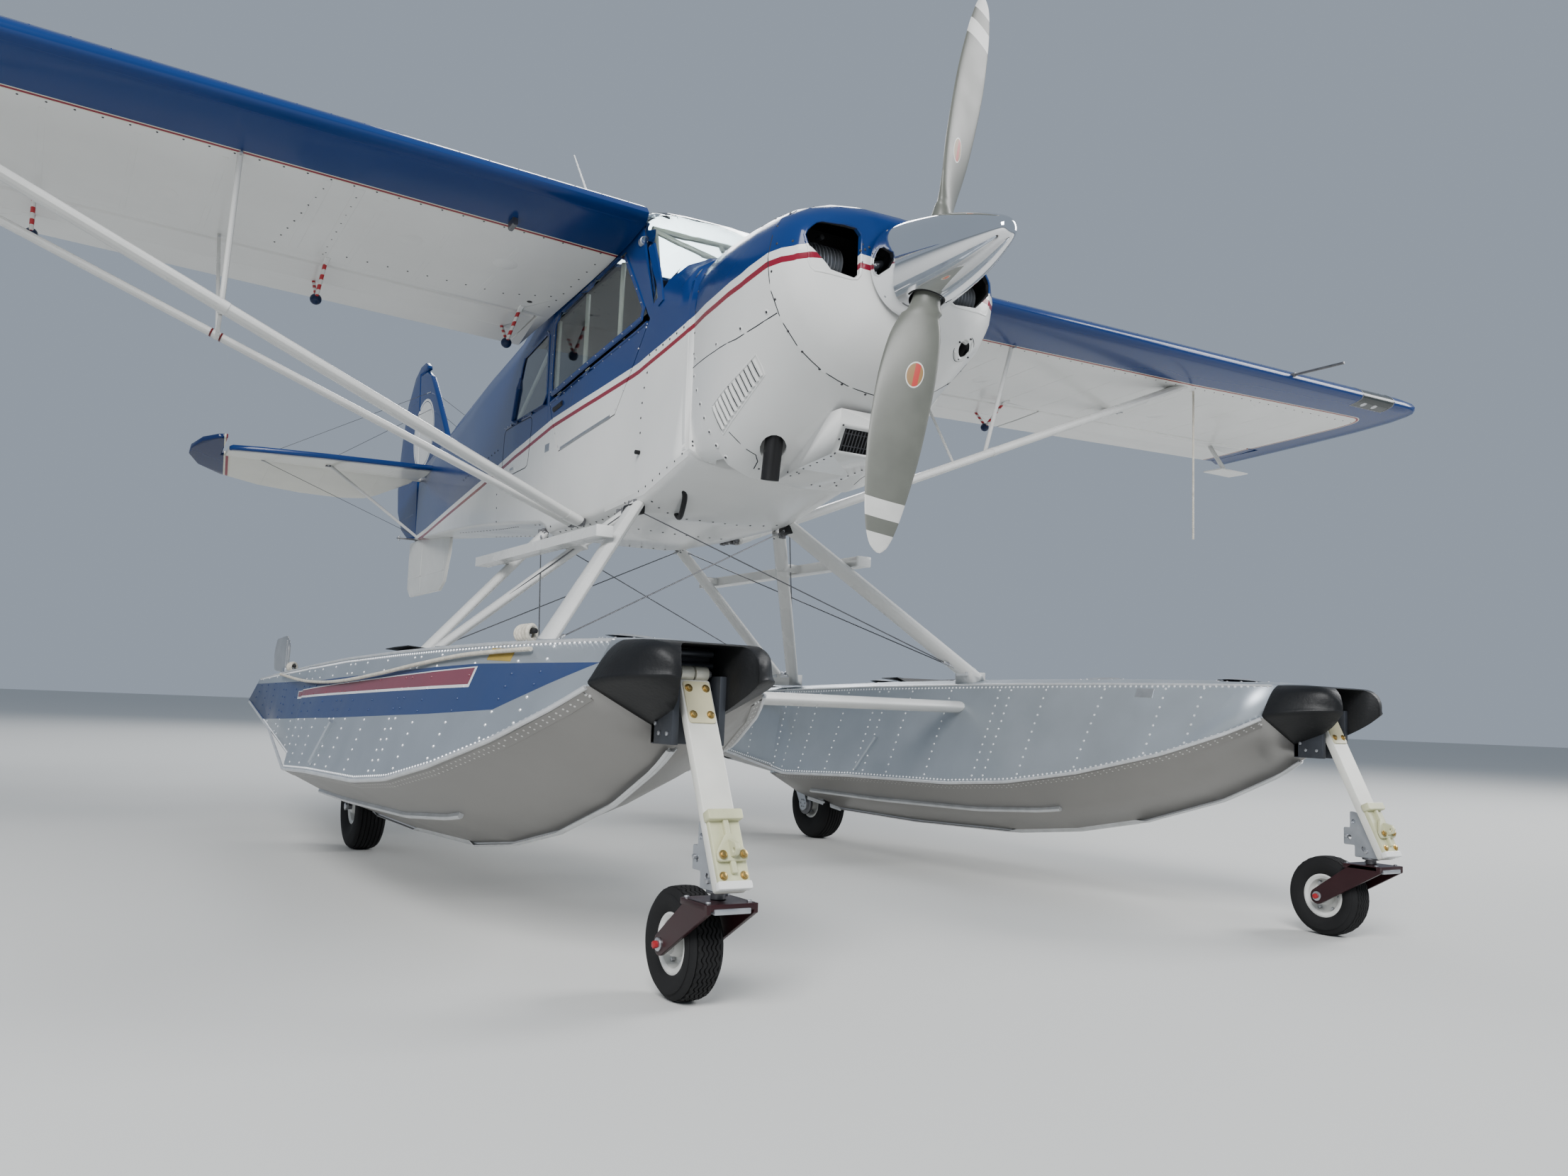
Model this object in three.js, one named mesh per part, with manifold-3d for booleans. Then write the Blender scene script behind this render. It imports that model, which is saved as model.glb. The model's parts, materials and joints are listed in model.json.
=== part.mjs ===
import * as THREE from 'three';
import { mergeVertices } from 'three/addons/utils/BufferGeometryUtils.js';
import Module from 'manifold-3d';

// Two-seat high-wing floatplane standing on its amphibious floats.
// Millimetres, +Z up from the ground, nose towards -Y, +X towards the pilot's left (port).
// Lengths along Y are counted from the plane of the propeller blades.

const wasm = await Module();
wasm.setup();

const GAP = 0.3;            // between pieces that touch
const SPINNER_TIP_Y = -382;
const NOSE_LEG_Y = -886;
const RUDDER_END_Y = 6790;
const MIDDLE_Y = (NOSE_LEG_Y + RUDDER_END_Y) / 2;
const HALF_SPAN = 5411;
const DEG = Math.PI / 180;

const PAINT = {
  blue: { color: 0x1b4f9c, roughness: 0.3, metalness: 0.1 },
  white: { color: 0xe9e9e4, roughness: 0.35, metalness: 0 },
  silver: { color: 0xa3adb8, roughness: 0.4, metalness: 0.5 },
  chrome: { color: 0xd8dade, roughness: 0.08, metalness: 1 },
  blade: { color: 0x8c8e86, roughness: 0.45, metalness: 0.2 },
  black: { color: 0x18181a, roughness: 0.6, metalness: 0 },
  rubber: { color: 0x141414, roughness: 0.85, metalness: 0 },
  glass: { color: 0xa9c4d4, roughness: 0.05, metalness: 0 },
  cream: { color: 0xe6e3c4, roughness: 0.45, metalness: 0.1 },
  maroon: { color: 0x3a1d22, roughness: 0.5, metalness: 0.3 },
  cloth: { color: 0x4a4c50, roughness: 0.9, metalness: 0 },
  rope: { color: 0xd9d2c0, roughness: 0.9, metalness: 0 },
  steel: { color: 0x5d5f62, roughness: 0.4, metalness: 0.8 },
};

const sine = (degrees) => Math.sin(degrees * DEG);
const cosine = (degrees) => Math.cos(degrees * DEG);
const mix = (a, b, t) => a + (b - a) * t;

// Closed body through rings of equal point count, with a fan on each end
function loft(rings) {
  const count = rings[0].length;
  const points = rings.flat();
  const last = points.length - count;
  const faces = [];
  for (let start = 0; start < last; start += count) {
    for (let k = 0; k < count; k += 1) {
      const a = start + k;
      const b = start + ((k + 1) % count);
      faces.push(a, b, b + count, a, b + count, a + count);
    }
  }
  for (const [ring, start] of [[rings[0], 0], [rings.at(-1), last]]) {
    const middle = [0, 1, 2].map((axis) => ring.reduce((sum, p) => sum + p[axis], 0) / count);
    points.push(middle);
    for (let k = 0; k < count; k += 1) {
      const edge = [start + k, start + ((k + 1) % count)];
      if (start === 0) edge.reverse();
      faces.push(edge[0], edge[1], points.length - 1);
    }
  }
  const geometry = new THREE.BufferGeometry();
  geometry.setAttribute('position', new THREE.Float32BufferAttribute(points.flat(), 3));
  geometry.setIndex(faces);
  return faceOutward(geometry);
}

function signedVolume(geometry) {
  const at = geometry.getAttribute('position');
  const index = geometry.index;
  const corner = [new THREE.Vector3(), new THREE.Vector3(), new THREE.Vector3()];
  let volume = 0;
  for (let k = 0; k < index.count; k += 3) {
    corner.forEach((v, j) => v.fromBufferAttribute(at, index.getX(k + j)));
    volume += corner[0].dot(corner[1].cross(corner[2])) / 6;
  }
  return volume;
}

function faceOutward(geometry) {
  if (signedVolume(geometry) > 0) return geometry;
  const index = geometry.index;
  for (let k = 0; k < index.count; k += 3) {
    const first = index.getX(k);
    index.setX(k, index.getX(k + 1));
    index.setX(k + 1, first);
  }
  return geometry;
}

function welded(geometry) {
  if (geometry.index && Object.keys(geometry.attributes).length === 1) return geometry.clone();
  const bare = new THREE.BufferGeometry();
  bare.setAttribute('position', geometry.getAttribute('position').clone());
  if (geometry.index) bare.setIndex(geometry.index.clone());
  return mergeVertices(bare, 1e-3);
}

function toSolid(geometry) {
  const merged = welded(geometry);
  return new wasm.Manifold(new wasm.Mesh({
    numProp: 3,
    vertProperties: new Float32Array(merged.getAttribute('position').array),
    triVerts: new Uint32Array(merged.index.array),
  }));
}

function fromSolid(solid) {
  const mesh = solid.simplify(0.02).getMesh();
  const geometry = new THREE.BufferGeometry();
  geometry.setAttribute('position', new THREE.Float32BufferAttribute(Array.from(mesh.vertProperties), 3));
  geometry.setIndex(Array.from(mesh.triVerts));
  return geometry;
}

function join(...shapes) {
  return fromSolid(shapes.map(toSolid).reduce((whole, next) => whole.add(next)));
}

function cut(shape, ...tools) {
  return fromSolid(tools.map(toSolid).reduce((whole, next) => whole.subtract(next), toSolid(shape)));
}

function common(shape, tool) {
  return fromSolid(toSolid(shape).intersect(toSolid(tool)));
}

function mirrored(geometry) {
  const copy = welded(geometry);
  copy.applyMatrix4(new THREE.Matrix4().makeScale(-1, 1, 1));
  return faceOutward(copy);
}

function moved(geometry, x, y, z) {
  return geometry.clone().translate(x, y, z);
}

// Turned about an axis along X through (y, z), tail-down positive
function drooped(geometry, y, z, degrees) {
  return geometry.clone().translate(0, -y, -z).rotateX(-degrees * DEG).translate(0, y, z);
}

function box(x0, x1, y0, y1, z0, z1) {
  return new THREE.BoxGeometry(x1 - x0, y1 - y0, z1 - z0)
    .translate((x0 + x1) / 2, (y0 + y1) / 2, (z0 + z1) / 2);
}

// Side-view outline of [y, z] points, from x0 to x1
function sidePlate(outline, x0, x1) {
  return loft([x0, x1].map((x) => outline.map(([y, z]) => [x, y, z])));
}

// Front-view outline of [x, z] points, from y0 to y1
function frontPlate(outline, y0, y1) {
  return loft([y0, y1].map((y) => outline.map(([x, z]) => [x, y, z])));
}

// Streamlined or round tube between two points, its chord lying along Y
function strut(from, to, chord, thick, sides = 10) {
  const a = new THREE.Vector3(...from);
  const b = new THREE.Vector3(...to);
  const axis = b.clone().sub(a).normalize();
  const across = new THREE.Vector3(0, 1, 0).addScaledVector(axis, -axis.y).normalize();
  const up = axis.clone().cross(across);
  const ring = (centre) => Array.from({ length: sides }, (_, k) => {
    const angle = (k / sides) * 2 * Math.PI;
    return centre.clone()
      .addScaledVector(across, (Math.cos(angle) * chord) / 2)
      .addScaledVector(up, (Math.sin(angle) * thick) / 2).toArray();
  });
  return loft([ring(a), ring(b)]);
}

// Round tube along a run of points
function tubeAlong(points, radius, sides, steps) {
  const route = new THREE.CatmullRomCurve3(points.map((p) => new THREE.Vector3(...p)));
  const section = new THREE.Shape(Array.from({ length: sides }, (_, k) => {
    const angle = (k / sides) * 2 * Math.PI;
    return new THREE.Vector2(radius * Math.cos(angle), radius * Math.sin(angle));
  }));
  return new THREE.ExtrudeGeometry(section, { steps, extrudePath: route, bevelEnabled: false });
}

// Profile of [radius, along] points turned about the X axis
function wheelShape(profile, segments) {
  const points = profile.map(([radius, along]) => new THREE.Vector2(radius, along));
  return new THREE.LatheGeometry(points, segments).rotateZ(-Math.PI / 2);
}

function rodX(x0, x1, y, z, radius, sides = 16) {
  return new THREE.CylinderGeometry(radius, radius, x1 - x0, sides)
    .rotateZ(Math.PI / 2).translate((x0 + x1) / 2, y, z);
}

function rodY(x, y0, y1, z, radius, sides = 20) {
  return new THREE.CylinderGeometry(radius, radius, y1 - y0, sides).translate(x, (y0 + y1) / 2, z);
}

function rodZ(x, y, z0, z1, radius, sides = 12) {
  return new THREE.CylinderGeometry(radius, radius, z1 - z0, sides)
    .rotateX(Math.PI / 2).translate(x, y, (z0 + z1) / 2);
}

// Ring from the right half's points, bottom centre to top centre, and their mirror image
function closedRing(y, right) {
  const left = right.slice(1, -1).reverse();
  return [...right.map(([x, z]) => [x, y, z]), ...left.map(([x, z]) => [-x, y, z])];
}

const BELLY_ANGLES = [0, 25, 50, 72, 90];
const DECK_ANGLES = [0, 18, 36, 54, 72, 90];

// Fuselage sections: y, belly, lower corner, shoulder, top, half width, roundness of the top
const FUSELAGE = [
  [953, 1575, 1660, 2200, 2470, 402, 2.6],
  [1100, 1530, 1630, 2220, 2495, 400, 2.4],
  [1220, 1500, 1600, 2260, 2590, 398, 2.2],
  [1345, 1470, 1570, 2310, 2695, 396, 2.2],
  [1440, 1452, 1545, 2520, 2765, 393, 2.4],
  [1520, 1446, 1535, 2715, 2800, 390, 3],
  [2050, 1440, 1505, 2740, 2806, 390, 4],
  [2450, 1445, 1510, 2690, 2785, 385, 4],
  [2560, 1520, 1545, 2670, 2770, 380, 3.6],
  [3050, 1575, 1600, 2470, 2660, 358, 3],
  [3800, 1655, 1675, 2400, 2620, 300, 2.6],
  [4700, 1735, 1750, 2300, 2570, 200, 2.4],
  [5474, 1795, 1805, 2240, 2490, 110, 2.2],
  [6145, 1845, 1855, 2200, 2420, 26, 2],
];

function fuselageRing([y, belly, corner, shoulder, top, half, power], inset) {
  const w = half - inset;
  const low = belly + inset;
  const high = top - inset;
  const lowCorner = Math.max(corner, low + 4);
  const highCorner = Math.min(shoulder, high - 4);
  const lower = BELLY_ANGLES.map((a) => [
    w * sine(a) ** (2 / 4), lowCorner - (lowCorner - low) * Math.abs(cosine(a)) ** (2 / 4)]);
  const upper = DECK_ANGLES.map((a) => [
    w * Math.abs(cosine(a)) ** (2 / power), highCorner + (high - highCorner) * sine(a) ** (2 / power)]);
  return closedRing(y, [...lower, ...upper]);
}

function fuselageLoft(inset, first = 0, last = FUSELAGE.length) {
  return loft(FUSELAGE.slice(first, last).map((row) => fuselageRing(row, inset)));
}

// Skin of the fuselage between two depths, within a side-view outline
function skin(outline, depthOut, depthIn, x0, x1) {
  const shell = cut(fuselageLoft(depthOut), fuselageLoft(depthIn));
  return common(shell, sidePlate(outline, x0, x1));
}

// Side-view outline with each edge moved inward by a margin, for convex outlines
function shrunk(outline, margin) {
  const count = outline.length;
  const middle = [0, 1].map((axis) => outline.reduce((sum, p) => sum + p[axis], 0) / count);
  const edges = outline.map(([y, z], k) => {
    const [nextY, nextZ] = outline[(k + 1) % count];
    const length = Math.hypot(nextY - y, nextZ - z);
    const normal = [-(nextZ - z) / length, (nextY - y) / length];
    const offset = normal[0] * (y - middle[0]) + normal[1] * (z - middle[1]);
    const turn = Math.sign(offset);
    return { normal: [normal[0] * turn, normal[1] * turn], reach: Math.abs(offset) - margin };
  });
  return edges.map((edge, k) => {
    const before = edges[(k + count - 1) % count];
    const [a, b] = before.normal;
    const [c, d] = edge.normal;
    const area = a * d - b * c;
    return [
      middle[0] + (before.reach * d - edge.reach * b) / area,
      middle[1] + (edge.reach * a - before.reach * c) / area,
    ];
  });
}

const DOOR_WINDOW = [[1395, 2278], [1662, 2628], [2500, 2540], [2512, 2150]];
const DOOR_LOWER = [[1372, 2252], [2518, 2122], [2358, 1850], [1695, 1905]];
const REAR_WINDOW = [[2575, 2508], [2985, 2462], [3130, 2130], [2562, 2128]];
const SCREEN = [[1050, 2524], [1345, 2303], [1500, 2690], [1500, 2860], [1050, 2860]];
const SKYLIGHT = [[1490, 2700], [1560, 2760], [2260, 2760], [2260, 2860], [1490, 2860]];
const WALL = 22;
const HOLLOW_ROWS = 11;     // the cabin and baggage bay; the tail behind them is closed
const GLASS_OUT = 6;
const GLASS_IN = 14;
const DOOR_THICK = 22;
const STAB_AXIS_Y = 6110;
const STAB_SPAR_Y = 5900;
const STAB_Z = 2300;
const FIN_HALF = 20;

function fuselage() {
  const hull = fuselageLoft(0);
  const hollow = [[978, ...FUSELAGE[0].slice(1)], ...FUSELAGE.slice(1, HOLLOW_ROWS)];
  const inner = loft(hollow.map((row) => fuselageRing(row, WALL)));
  const openings = [
    sidePlate(DOOR_WINDOW, -500, -250), sidePlate(DOOR_LOWER, -500, -250),
    sidePlate([[1372, 2252], [1395, 2278], [2512, 2150], [2518, 2122]], -500, -250),
    sidePlate(REAR_WINDOW, -500, -200), sidePlate(REAR_WINDOW, 200, 500),
    sidePlate(DOOR_WINDOW, 250, 500),
    sidePlate(SCREEN, -500, 500),
    sidePlate(SKYLIGHT, -372, 372),
    rodX(-300, 300, STAB_AXIS_Y, STAB_Z, 24),
    rodX(-300, 300, STAB_SPAR_Y, STAB_Z, 18 + GAP, 12),
  ];
  return cut(hull, inner, ...openings);
}

const wallGlass = (outline, x0, x1) => skin(shrunk(outline, GAP), GLASS_OUT, GLASS_IN, x0, x1);

function windshield() {
  const front = skin(
    [[1051, 2525.5], [1344, 2306], [1498.5, 2691], [1498.5, 2859], [1051, 2859]], 2, 12, -499, 499);
  const top = skin([[1497, 2706], [1556, 2768], [2259, 2768], [2259, 2859], [1498, 2859]], 2, 12, -371, 371);
  return join(front, top);
}

// Cowl sections: y, half width, bottom, top, roundness below, roundness above
const COWL_MID_Z = 2170;
const BOWL = [
  [150, 340, 1990, 2335, 2.4, 2.6],
  [162, 385, 1935, 2362, 2.2, 2.6],
  [190, 428, 1875, 2388, 2.1, 2.6],
  [238, 458, 1812, 2410, 2, 2.6],
  [302, 472, 1765, 2425, 2, 2.6],
];
const COWL = [
  [302 + GAP, 472, 1765, 2425, 2, 2.6],
  [420, 475, 1702, 2441, 2.2, 2.6],
  [560, 468, 1628, 2452, 2.8, 2.6],
  [680, 454, 1562, 2460, 3.4, 2.6],
  [800, 435, 1512, 2465, 4, 2.6],
  [953 - GAP, 402, 1575, 2470, 8, 2.6],
];

function cowlRing([y, half, bottom, top, lowPower, highPower], inset) {
  const w = half - inset;
  const low = COWL_MID_Z - (bottom + inset);
  const high = top - inset - COWL_MID_Z;
  const below = [0, 15, 30, 45, 60, 75].map((a) => [
    w * sine(a) ** (2 / lowPower), COWL_MID_Z - low * cosine(a) ** (2 / lowPower)]);
  const above = [0, 15, 30, 45, 60, 75, 90].map((a) => [
    w * Math.abs(cosine(a)) ** (2 / highPower), COWL_MID_Z + high * sine(a) ** (2 / highPower)]);
  return closedRing(y, [...below, ...above]);
}

function ovalLoft(rows, inset) {
  return loft(rows.map((row) => cowlRing(row, inset)));
}

const COWL_WALL = 10;
const INLET = { inner: 196, outer: 404, bottom: 2112, top: 2286 };

function inletCutter(side) {
  const { inner, outer, bottom, top } = INLET;
  const corner = 45;
  const outline = [
    [inner, bottom + 20], [inner + 20, bottom], [outer - corner * 2, bottom + 8], [outer, bottom + 90],
    [outer, top - corner], [outer - corner, top], [inner + 20, top], [inner, top - 20],
  ];
  return frontPlate(outline.map(([x, z]) => [x * side, z]), 60, 292);
}

function noseBowl() {
  const stretched = (row, y) => [y, ...row.slice(1)];
  const inner = [stretched(BOWL[0], 166), stretched(BOWL[1], 178), stretched(BOWL[2], 203),
    stretched(BOWL[3], 245), stretched(BOWL[4], 330)];
  return cut(ovalLoft(BOWL, 0), ovalLoft(inner, 12), inletCutter(1), inletCutter(-1),
    rodY(0, 100, 200, HUB_Z, 90), rodY(291, 150, 400, 1972, 30));
}

const HUB_Z = 2175;
const EXHAUST = { x: -218, top: [590, 1959], bottom: [652, 1492], radius: 34 };

function airBox() {
  const profile = [[348, 1720], [350, 1668], [404, 1566], [620, 1545], [790, 1518], [790, 1600], [600, 1720]];
  const fairing = sidePlate(profile, -118, 118);
  const mouth = sidePlate([[330, 1652], [395, 1580], [450, 1580], [450, 1660]], -92, 92);
  return cut(fairing, mouth);
}

function cowling() {
  const tail = COWL.at(-1);
  const inner = [[290, ...COWL[0].slice(1)], ...COWL.slice(1, -1), [965, ...tail.slice(1)]];
  const body = join(ovalLoft(COWL, 0), cut(airBox(), ovalLoft(COWL, 4)));
  const hole = strut([EXHAUST.x, ...EXHAUST.top], [EXHAUST.x, ...EXHAUST.bottom], 98, 98, 16);
  return cut(body, ovalLoft(inner, COWL_WALL), box(-330, 330, 806, 970, 1400, 1588), hole);
}

function engine() {
  const block = box(-345, 345, 336, 880, 1959, 2330);
  const mount = box(-150, 150, 870, 953 - GAP, 2000, 2300);
  const pipe = strut(
    [EXHAUST.x, EXHAUST.top[0] - 10, EXHAUST.top[1] + 60], [EXHAUST.x, ...EXHAUST.bottom],
    EXHAUST.radius * 2, EXHAUST.radius * 2, 16);
  return join(block, mount, pipe);
}

// Propeller: two blades on a hub inside a pointed spinner
const SPINNER = [
  [0, SPINNER_TIP_Y], [14, -380], [24, -372], [42, -340], [78, -260], [108, -170],
  [134, -70], [153, 30], [162, 90], [165, 130],
];
const SPINNER_WALL = 6;
// Blade stations: radius, chord, thickness, pitch
const BLADE = [
  [60, 84, 84, 40],
  [150, 88, 76, 40],
  [230, 120, 46, 36],
  [360, 168, 30, 30],
  [520, 196, 22, 24],
  [700, 200, 16, 20],
  [860, 178, 12, 17],
  [960, 132, 9, 16],
  [1005, 84, 7, 15],
  [1020, 30, 5, 15],
];
const BLADE_LEAN = 10.9;

function blade() {
  const rings = BLADE.map(([radius, chord, thick, pitch]) => {
    const round = radius < 200;
    return Array.from({ length: 10 }, (_, k) => {
      const angle = (k / 10) * 360;
      const along = (cosine(angle) * chord) / 2 - (round ? 0 : chord * 0.08);
      const out = (sine(angle) * thick) / 2;
      return [-along * cosine(pitch) + out * sine(pitch), -along * sine(pitch) - out * cosine(pitch), radius];
    });
  });
  return loft(rings);
}

function propeller() {
  const up = blade();
  const down = up.clone().rotateY(Math.PI);
  const hub = rodY(0, -60, 100, 0, 62, 16);
  const shaft = rodY(0, 90, 330, 0, 42, 16);
  return join(up, down, hub, shaft).rotateY(BLADE_LEAN * DEG);
}

function spinner() {
  const outer = SPINNER.map(([r, y]) => new THREE.Vector2(r, y));
  const inner = SPINNER.slice(3).reverse()
    .map(([r, y]) => new THREE.Vector2(r - SPINNER_WALL, y === 130 ? 130 : y + 2));
  const backPlate = [new THREE.Vector2(165, 130), new THREE.Vector2(165, 136), new THREE.Vector2(50, 136),
    new THREE.Vector2(50, 126)];
  const profile = [...outer, ...backPlate.slice(1), new THREE.Vector2(inner[0].x, 126), ...inner.slice(1),
    new THREE.Vector2(0, -336)];
  const shell = faceOutward(welded(new THREE.LatheGeometry(profile, 28)));
  const holes = [1, -1].map((end) => rodZ(0, 0, 40 * end, 260 * end, 51, 20));
  const lean = holes.map((hole) => faceOutward(welded(hole)).rotateY(BLADE_LEAN * DEG));
  return cut(shell, ...lean);
}

// Wing: airfoil rows of chord fraction, upper height and lower height as fractions of the chord
const AIRFOIL = [
  [1, 0.003, -0.003],
  [0.72, 0.042, -0.016],
  [0.5, 0.068, -0.026],
  [0.28, 0.08, -0.033],
  [0.12, 0.069, -0.031],
  [0.04, 0.043, -0.022],
  [0.012, 0.023, -0.014],
  [0, 0.003, 0.003],
];
const WING = { root: 396, chord: 1570, noseY: 1430, noseZ: 2722, sweep: 44, rise: 120, rootPitch: 7, tipPitch: 4.6 };
const HINGE_S = 0.735;

function wingPoint(x, s, h, chord = WING.chord) {
  const t = (x - WING.root) / (HALF_SPAN - WING.root);
  const pitch = mix(WING.rootPitch, WING.tipPitch, t);
  const nose = [WING.noseY + WING.sweep * t, WING.noseZ + WING.rise * t];
  const along = s * chord;
  const above = h * WING.chord;
  return [x, nose[0] + along * cosine(pitch) + above * sine(pitch),
    nose[1] - along * sine(pitch) + above * cosine(pitch)];
}

function wingRing(x, trim = 0, thin = 1, longer = 0) {
  const chord = WING.chord - trim + longer;
  const place = (s, h) => {
    const [px, py, pz] = wingPoint(x, s, h * thin, chord);
    return [px, py + trim, pz];
  };
  const upper = AIRFOIL.map(([s, up]) => place(s, up));
  const lower = AIRFOIL.slice(0, -1).reverse().map(([s, , down]) => place(s, down));
  return [...upper, ...lower];
}

// Part of the wing behind the hinge line, with a round nose turning on its own axis
function surfaceRing(x, end) {
  const axis = { s: HINGE_S + 0.0225, h: 0.0085, r: 0.0215 };
  const nose = [65, 110, 155, 205, 250, 295].map((a) => [axis.s + axis.r * cosine(a), axis.h + axis.r * sine(a)]);
  const outline = [[end, 0.003], [0.87, 0.0205], ...nose, [0.87, -0.0095], [end, -0.003]];
  return outline.map(([s, h]) => wingPoint(x, s, h));
}

const FLAP = { from: 462, to: 2950 };
const AILERON = { from: 2968, to: 5150 };
const FLAP_BRACKETS = [560, 1470, 2600];
const BRACKET_DROP = 0.086;
const BRACKET_S = 0.822;
const PITOT = { x: 3850, reach: 350 };
const SPADE = { x: 4740, half: 140, drop: 230 };

// Stations: x, nose set back, thickness factor, extra chord
const WING_STATIONS = [
  [WING.root, 0, 1, 0],
  [2960, 0, 1, 0],
  [5165, 0, 1, 0],
  [5290, 10, 0.94, 60],
  [5372, 60, 0.72, 40],
  [HALF_SPAN, 190, 0.3, -40],
];

const wingPanel = () => loft(WING_STATIONS.map((row) => wingRing(...row)));
const underWing = (shape) => cut(shape, moved(wingPanel(), 0, 0, -GAP));

function wing() {
  const panel = wingPanel();
  const cove = loft([FLAP.from - 8, AILERON.to + 8].map((x) => [
    wingPoint(x, HINGE_S - 0.007, 0.2), wingPoint(x, 1.15, 0.2),
    wingPoint(x, 1.15, -0.2), wingPoint(x, HINGE_S - 0.007, -0.2)]));
  const arms = FLAP_BRACKETS.flatMap((x) => [
    strut(wingPoint(x, 0.69, -0.01), wingPoint(x, BRACKET_S, -BRACKET_DROP), 16, 16, 8),
    new THREE.IcosahedronGeometry(24, 1).translate(...wingPoint(x, BRACKET_S, -BRACKET_DROP)),
  ]);
  return join(cut(panel, cove), ...arms);
}

function pitot() {
  const foot = wingPoint(PITOT.x, 0.03, -0.012);
  return strut([foot[0], foot[1] - PITOT.reach, foot[2]], foot, 18, 18, 8);
}

function flap() {
  const body = loft([FLAP.from, FLAP.to].map((x) => surfaceRing(x, 1)));
  const arms = FLAP_BRACKETS.map((x) => {
    const foot = wingPoint(x, 0.875, -0.004);
    const eye = wingPoint(x, BRACKET_S + 0.006, -BRACKET_DROP + 0.018);
    return strut(foot, eye, 14, 14, 8);
  });
  return join(body, ...arms);
}

function aileron() {
  const body = loft([AILERON.from, AILERON.to].map((x) => surfaceRing(x, 1)));
  const foot = wingPoint(SPADE.x, 0.8, 0);
  const low = [foot[0], foot[1] - 150, foot[2] - SPADE.drop];
  const arm = strut(foot, low, 34, 10, 8);
  const plate = box(low[0] - SPADE.half, low[0] + SPADE.half, low[1] - 80, low[1] + 80, low[2] - 8, low[2]);
  return join(body, arm, plate);
}

// Lift struts from the lower longeron to the spars, and the light struts that steady them
const LIFT = {
  front: { foot: [408, 1992, 1469], head: [3480, 1813, 2762], chord: 98, thick: 46 },
  rear: { foot: [408, 2090, 1474], head: [3440, 2370, 2705], chord: 62, thick: 32 },
};

const liftStrut = ({ foot, head, chord, thick }, grow = 0) =>
  strut(foot, head, chord + grow * 2, thick + grow * 2, 12);

function onStrut({ foot, head }, t) {
  return foot.map((value, axis) => mix(value, head[axis], t));
}

function juryStruts() {
  const front = onStrut(LIFT.front, 0.5);
  const rear = onStrut(LIFT.rear, 0.5);
  const frontTop = wingPoint(1945, 0.2, -0.02);
  const rearTop = wingPoint(1915, 0.7, -0.012);
  const behind = [front[0], front[1] + 62, front[2] - 12];
  const ahead = [rear[0], rear[1] - 42, rear[2] - 12];
  const struts = join(
    strut(behind, frontTop, 22, 22, 8), strut(ahead, rearTop, 16, 16, 8), strut(behind, ahead, 16, 16, 8));
  return cut(underWing(struts), liftStrut(LIFT.front, GAP), liftStrut(LIFT.rear, GAP));
}

function tailOutline(points, half, round) {
  const shape = new THREE.Shape(points.map(([y, z]) => new THREE.Vector2(y, z)));
  return new THREE.ExtrudeGeometry(shape, {
    depth: (half - round) * 2, bevelEnabled: true, bevelThickness: round, bevelSize: round, bevelOffset: -round,
    bevelSegments: 1,
  }).translate(0, 0, round - half);
}

// Upright plate from [y, z] points, centred on x = 0
function uprightTail(points, half, round) {
  const turn = new THREE.Matrix4().makeBasis(
    new THREE.Vector3(0, 1, 0), new THREE.Vector3(0, 0, 1), new THREE.Vector3(1, 0, 0));
  return faceOutward(welded(tailOutline(points, half, round).applyMatrix4(turn)));
}

// Level plate from [x, y] points at height z
function levelTail(points, half, round, z) {
  return faceOutward(welded(tailOutline(points, half, round).translate(0, 0, z)));
}

const RUDDER_FOOT = [6180, 1860];
const RUDDER_TILT = 7.6;
const hingeY = (z) => RUDDER_FOOT[0] + (z - RUDDER_FOOT[1]) * Math.tan(RUDDER_TILT * DEG);

function fin() {
  const shape = [
    [5440, 2380], [5480, 2484], [5832, 2892], [6020, 3085], [6150, 3150],
    [hingeY(3150) - 34, 3150], [hingeY(2330) - 34, 2330], [hingeY(2330) - 60, 2330],
  ];
  return cut(uprightTail(shape, FIN_HALF, 8), fuselageLoft(-GAP), box(-40, 40, 5400, 6140, 2200, 2402));
}

function rudder() {
  const low = [hingeY(1870) - 18, 1870];
  const shape = [
    low, [hingeY(3163) - 18, 3163], [6140, 3163], [6150, 3200], [6215, 3235], [6330, 3228], [6470, 3165],
    [6640, 2975], [6740, 2720], [6785, 2500], [6790, 2300], [6745, 2120], [6600, 1960], [6420, 1880],
  ];
  return uprightTail(shape, FIN_HALF, 8);
}

function stabilizer() {
  const half = [
    [60, 5560], [260, 5585], [800, 5655], [1200, 5735], [1385, 5800], [1398, 5850], [1392, STAB_AXIS_Y - 36],
    [60, STAB_AXIS_Y - 36],
  ];
  const port = cut(levelTail(half, 18, 7, STAB_Z), fuselageLoft(-GAP));
  return join(port, mirrored(port), rodX(-320, 320, STAB_SPAR_Y, STAB_Z, 18, 12));
}

function tailStrut() {
  const tube = strut([20, 6110, 1860], [735, 5918, STAB_Z - 8], 22, 22, 8);
  return cut(tube, fuselageLoft(-GAP), box(600, 900, 5700, 6100, STAB_Z - 18 - GAP, STAB_Z + 60));
}

const ELEVATOR_DROOP = 14;

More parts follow.
